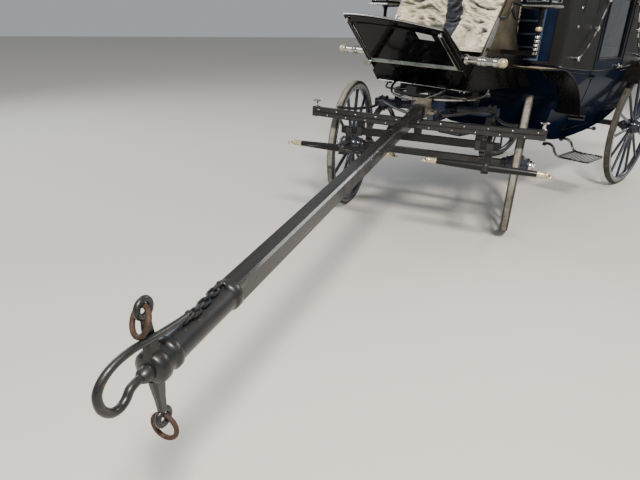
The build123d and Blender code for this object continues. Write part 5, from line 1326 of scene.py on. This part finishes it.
def simmed(thing, frames, cap, **settings):
    """Runs cloth on a piece and applies it, with no point moved further than cap."""
    before = [v.co.copy() for v in thing.data.vertices]
    cloth = thing.modifiers.new("cloth", "CLOTH")
    for key, value in settings.items():
        setattr(cloth.settings, key, value)
    cloth.settings.quality = 6
    cloth.collision_settings.use_self_collision = False
    cloth.collision_settings.distance_min = 0.004
    cloth.point_cache.frame_start = 1
    cloth.point_cache.frame_end = frames
    for now in range(1, frames + 1):
        bpy.context.scene.frame_set(now)
    moved = result(thing)
    thing.modifiers.remove(cloth)
    for corner, start in zip(moved.vertices, before):
        step = corner.co - start
        if step.length > cap:
            corner.co = start + step * (cap / step.length)
    thing.data = moved
    bpy.context.scene.frame_set(1)


def soft_done(thing, finish, node):
    thing.data.materials.clear()
    thing.data.materials.append(finish)
    thing.data.shade_smooth()
    round_off = thing.modifiers.new("rounded", "SUBSURF")
    round_off.levels = round_off.render_levels = 1
    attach(thing, "carriage")
    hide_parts(node)


for node, fill in (("cabin_cushions", 0.7), ("cabin_backrests", 0.6)):
    pad = cloth_copy(node + "_padded", node, 0.016, 0.010)
    simmed(pad, 16, 0.012, use_pressure=True, uniform_pressure_force=4.0, tension_stiffness=12.0,
           bending_stiffness=0.4)
    soft_done(pad, broadcloth, node)

# fitted canvas over the driver's bench, from the backboard's top to the bench's foot and over both cheeks
FOOT_Z, PEAK_Z, CHEEK_Z = 1338, 1904, 1725
BACK_Y, NEAR_X, NEAR_BACK_X, OFF_X = 359, 394, 370, -392
# how the slack front bulges at the middle: height, y
MIDDLE = ((FOOT_Z, -98), (1440, 30), (1520, 92), (1600, 104), (1670, 92), (1750, 118), (1840, 198),
          (PEAK_Z, 251))
COVER_ROWS, FRONT_STEPS, SIDE_STEPS, TOP_STEPS = 78, 60, 32, 8


def between(stops, at_z):
    for (z0, y0), (z1, y1) in zip(stops, stops[1:]):
        if at_z <= z1:
            return y0 + (y1 - y0) * (at_z - z0) / (z1 - z0)
    return stops[-1][1]


def cover_plan(z):
    """The cover's outline at one height, from its near front corner round."""
    share = min(max((PEAK_Z - z) / 170, 0.0), 1.0)
    straight = -102 + (z - FOOT_Z) * 353 / (PEAK_Z - FOOT_Z)
    cheek_front = -191 + (min(z, CHEEK_Z) - 1293) * 257 / 432
    back = BACK_Y + 35 * (PEAK_Z - z) / (PEAK_Z - FOOT_Z)
    off_x = OFF_X - 62 * share
    off_y = straight + (cheek_front - straight) * share
    outline = []
    for k in range(FRONT_STEPS):
        x = NEAR_X + (off_x - NEAR_X) * k / FRONT_STEPS
        pull = max(0.0, 1.0 - (abs(x) / 360) ** 3)
        y = straight + (between(MIDDLE, z) - straight) * pull
        if x < -330:
            y = straight + (off_y - straight) * min((-330 - x) / 76, 1.0)
        outline.append((x, y))
    for (x0, y0), (x1, y1), steps in (((off_x, off_y), (off_x, back), SIDE_STEPS),
                                      ((off_x, back), (NEAR_BACK_X, back), FRONT_STEPS),
                                      ((NEAR_BACK_X, back), (NEAR_X, straight), SIDE_STEPS)):
        outline += [(x0 + (x1 - x0) * k / steps, y0 + (y1 - y0) * k / steps) for k in range(steps)]
    return outline


# long level folds, and smaller ones across them: length, height, depth, sharpness, lean, shift
FOLDS = ((130, 29, 13, 3.2, 2.4, (0, 0, 0)), (50, 16, 4.5, 2.6, -2.6, (7, 3, 5)))
FOLD_DRIFT = 190


def slack(spot):
    """How far the slack cloth stands off at a spot."""
    drift, rise = noise.noise(spot / FOLD_DRIFT), 0.0
    for long, high, deep, sharp, lean, shift in FOLDS:
        fold = Vector((spot.x / long, spot.y / long, spot.z / high + lean * drift)) + Vector(shift)
        rise += deep * (1 - sharp * abs(noise.noise(fold)))
    return rise


heights = [FOOT_Z + (PEAK_Z - FOOT_Z) * r / COVER_ROWS for r in range(COVER_ROWS + 1)]
levels = [cover_plan(z) for z in heights]
around = len(levels[0])
shell = Piece("box_seat_canvas")
shell.lofted([(x, y, z) for z, level in zip(heights, levels) for x, y in level], around,
             start=False, end=False)
# the top: each front point is joined to the back point across from it
peak = levels[-1]
last_back = 2 * FRONT_STEPS + SIDE_STEPS
ends = [(peak[k], peak[(last_back - k) % around]) for k in range(FRONT_STEPS + 1)]
shell.join([(x0 + (x1 - x0) * j / TOP_STEPS, y0 + (y1 - y0) * j / TOP_STEPS,
             PEAK_Z + 6 * math.sin(math.pi * j / TOP_STEPS))
            for (x0, y0), (x1, y1) in ends for j in range(TOP_STEPS + 1)], patches(len(ends), TOP_STEPS + 1))
mesh = mesh_of("cover", [BODY @ p for p in shell.points], faces=shell.faces)
work = bmesh.new()
work.from_mesh(mesh)
bmesh.ops.remove_doubles(work, verts=work.verts, dist=0.004)
bmesh.ops.recalc_face_normals(work, faces=work.faces)
if sum((f.calc_center_median() - BODY @ Vector((0, 150, 1600))).dot(f.normal) for f in work.faces) < 0:
    bmesh.ops.reverse_faces(work, faces=work.faces)
work.normal_update()
still = [v.co.copy() for v in work.verts]
fold_shades = []
for corner, was in zip(work.verts, still):
    # the folds die out in the last 50 mm above the hem
    rise = slack(BODY.inverted() @ was) * min((was.z - FOOT_Z / 1000) / 0.05, 1.0)
    # how dark the painted shade is at the bottom of each fold
    fold_shades.append(0.95 * min(max((5 - rise) / 12, 0.0), 1.0))
    corner.co = was + corner.normal * rise * 0.001
work.to_mesh(mesh)
mesh.attributes.new("painted_fold_shade", "FLOAT", "POINT").data.foreach_set("value", fold_shades)
work.free()
cover = shown("box_seat_canvas", mesh)
# the hem, up to this height in metres, is pinned and the rest held less firmly
HEM_TOP = 1.362
hold = cover.vertex_groups.new(name="hold")
for corner in mesh.vertices:
    hold.add([corner.index], 1.0 if corner.co.z < HEM_TOP else 0.4, "REPLACE")
bench = shown("bench_stop", NODES["box_seat"].data.copy())
bench.modifiers.new("stop", "COLLISION")
bench.collision.thickness_outer = 0.003
simmed(cover, 20, 0.007, vertex_group_mass="hold", pin_stiffness=0.6, mass=0.25, tension_stiffness=18.0,
       compression_stiffness=14.0, shear_stiffness=6.0, bending_stiffness=0.1, shrink_min=-0.05)
bpy.data.objects.remove(bench)
cloth_skin = surface_of(cover.data)
soft_done(cover, canvas, "seat_cover")
for name, run in (("side", [(368, 1352 + 8 * k) for k in range(68)]),
                  ("hem", [(374 - 8 * k, 1356) for k in range(96)])):
    found = [laid(cloth_skin, (x, -900, z), Y) for x, z in run]
    stitched("cover_stitches_" + name, [p + n * 0.8 for p, n in (f for f in found if f)], 8, 1.0)

# Stage, light and camera
FLOOR_HALF = 30
floor = [(x * FLOOR_HALF, y * FLOOR_HALF, 0) for x, y in ((-1, -1), (1, -1), (1, 1), (-1, 1))]
floor_mesh = mesh_of("studio_floor", floor, faces=[(0, 1, 2, 3)])
pale = bpy.data.materials.new("studio_floor_pale")
pale.use_nodes = True
pale.node_tree.nodes["Principled BSDF"].inputs["Base Color"].default_value = sight("#c9c5bd")
pale.node_tree.nodes["Principled BSDF"].inputs["Roughness"].default_value = 0.8
floor_mesh.materials.append(pale)
shown("studio_floor", floor_mesh)

world = bpy.data.worlds.new("studio")
world.use_nodes = True
world.node_tree.nodes["Background"].inputs["Color"].default_value = sight("#dfe3e8")
world.node_tree.nodes["Background"].inputs["Strength"].default_value = 0.5
bpy.context.scene.world = world


def softbox(name, spot, target, size, power, colour):
    lamp = bpy.data.lights.new(name, "AREA")
    lamp.shape = "RECTANGLE"
    lamp.size, lamp.size_y = size
    lamp.energy = power
    lamp.color = sight(colour)[:3]
    thing = shown(name, lamp)
    thing.location = spot
    thing.rotation_euler = (Vector(target) - Vector(spot)).to_track_quat("-Z", "Y").to_euler()


softbox("key", (4.4, -4.4, 6.6), (0, -0.4, 1.0), (1.5, 1.2), 1300, "#fff9f0")
softbox("fill", (-6.5, -3.0, 4.0), (0, 0, 0.9), (4.5, 3.0), 260, "#e6eeff")
softbox("back", (1.0, 7.5, 5.0), (0, 0.5, 1.0), (4.5, 2.5), 350, "#ffffff")

# the photograph's camera, from the paving's lattice: where it stands, how it looks and how it is rolled
EYE = BODY @ Vector((2408, -3497, 1527))
LOOK = Vector((-0.664, 0.631, -0.401)).normalized()
ROLL = math.radians(-2.24)
FOCAL_PIXELS, PICTURE_WIDE, SENSOR = 510.4, 640, 36.0
level_right = LOOK.cross(Z).normalized()
right = level_right * math.cos(ROLL) + LOOK.cross(level_right).normalized() * math.sin(ROLL)
lens = bpy.data.cameras.new("camera")
lens.sensor_width = SENSOR
lens.lens = SENSOR * FOCAL_PIXELS / PICTURE_WIDE
camera = shown("camera", lens)
turned = Matrix((right, right.cross(LOOK), -LOOK)).transposed().to_4x4()
camera.matrix_world = Matrix.Translation(EYE) @ turned
bpy.context.scene.camera = camera
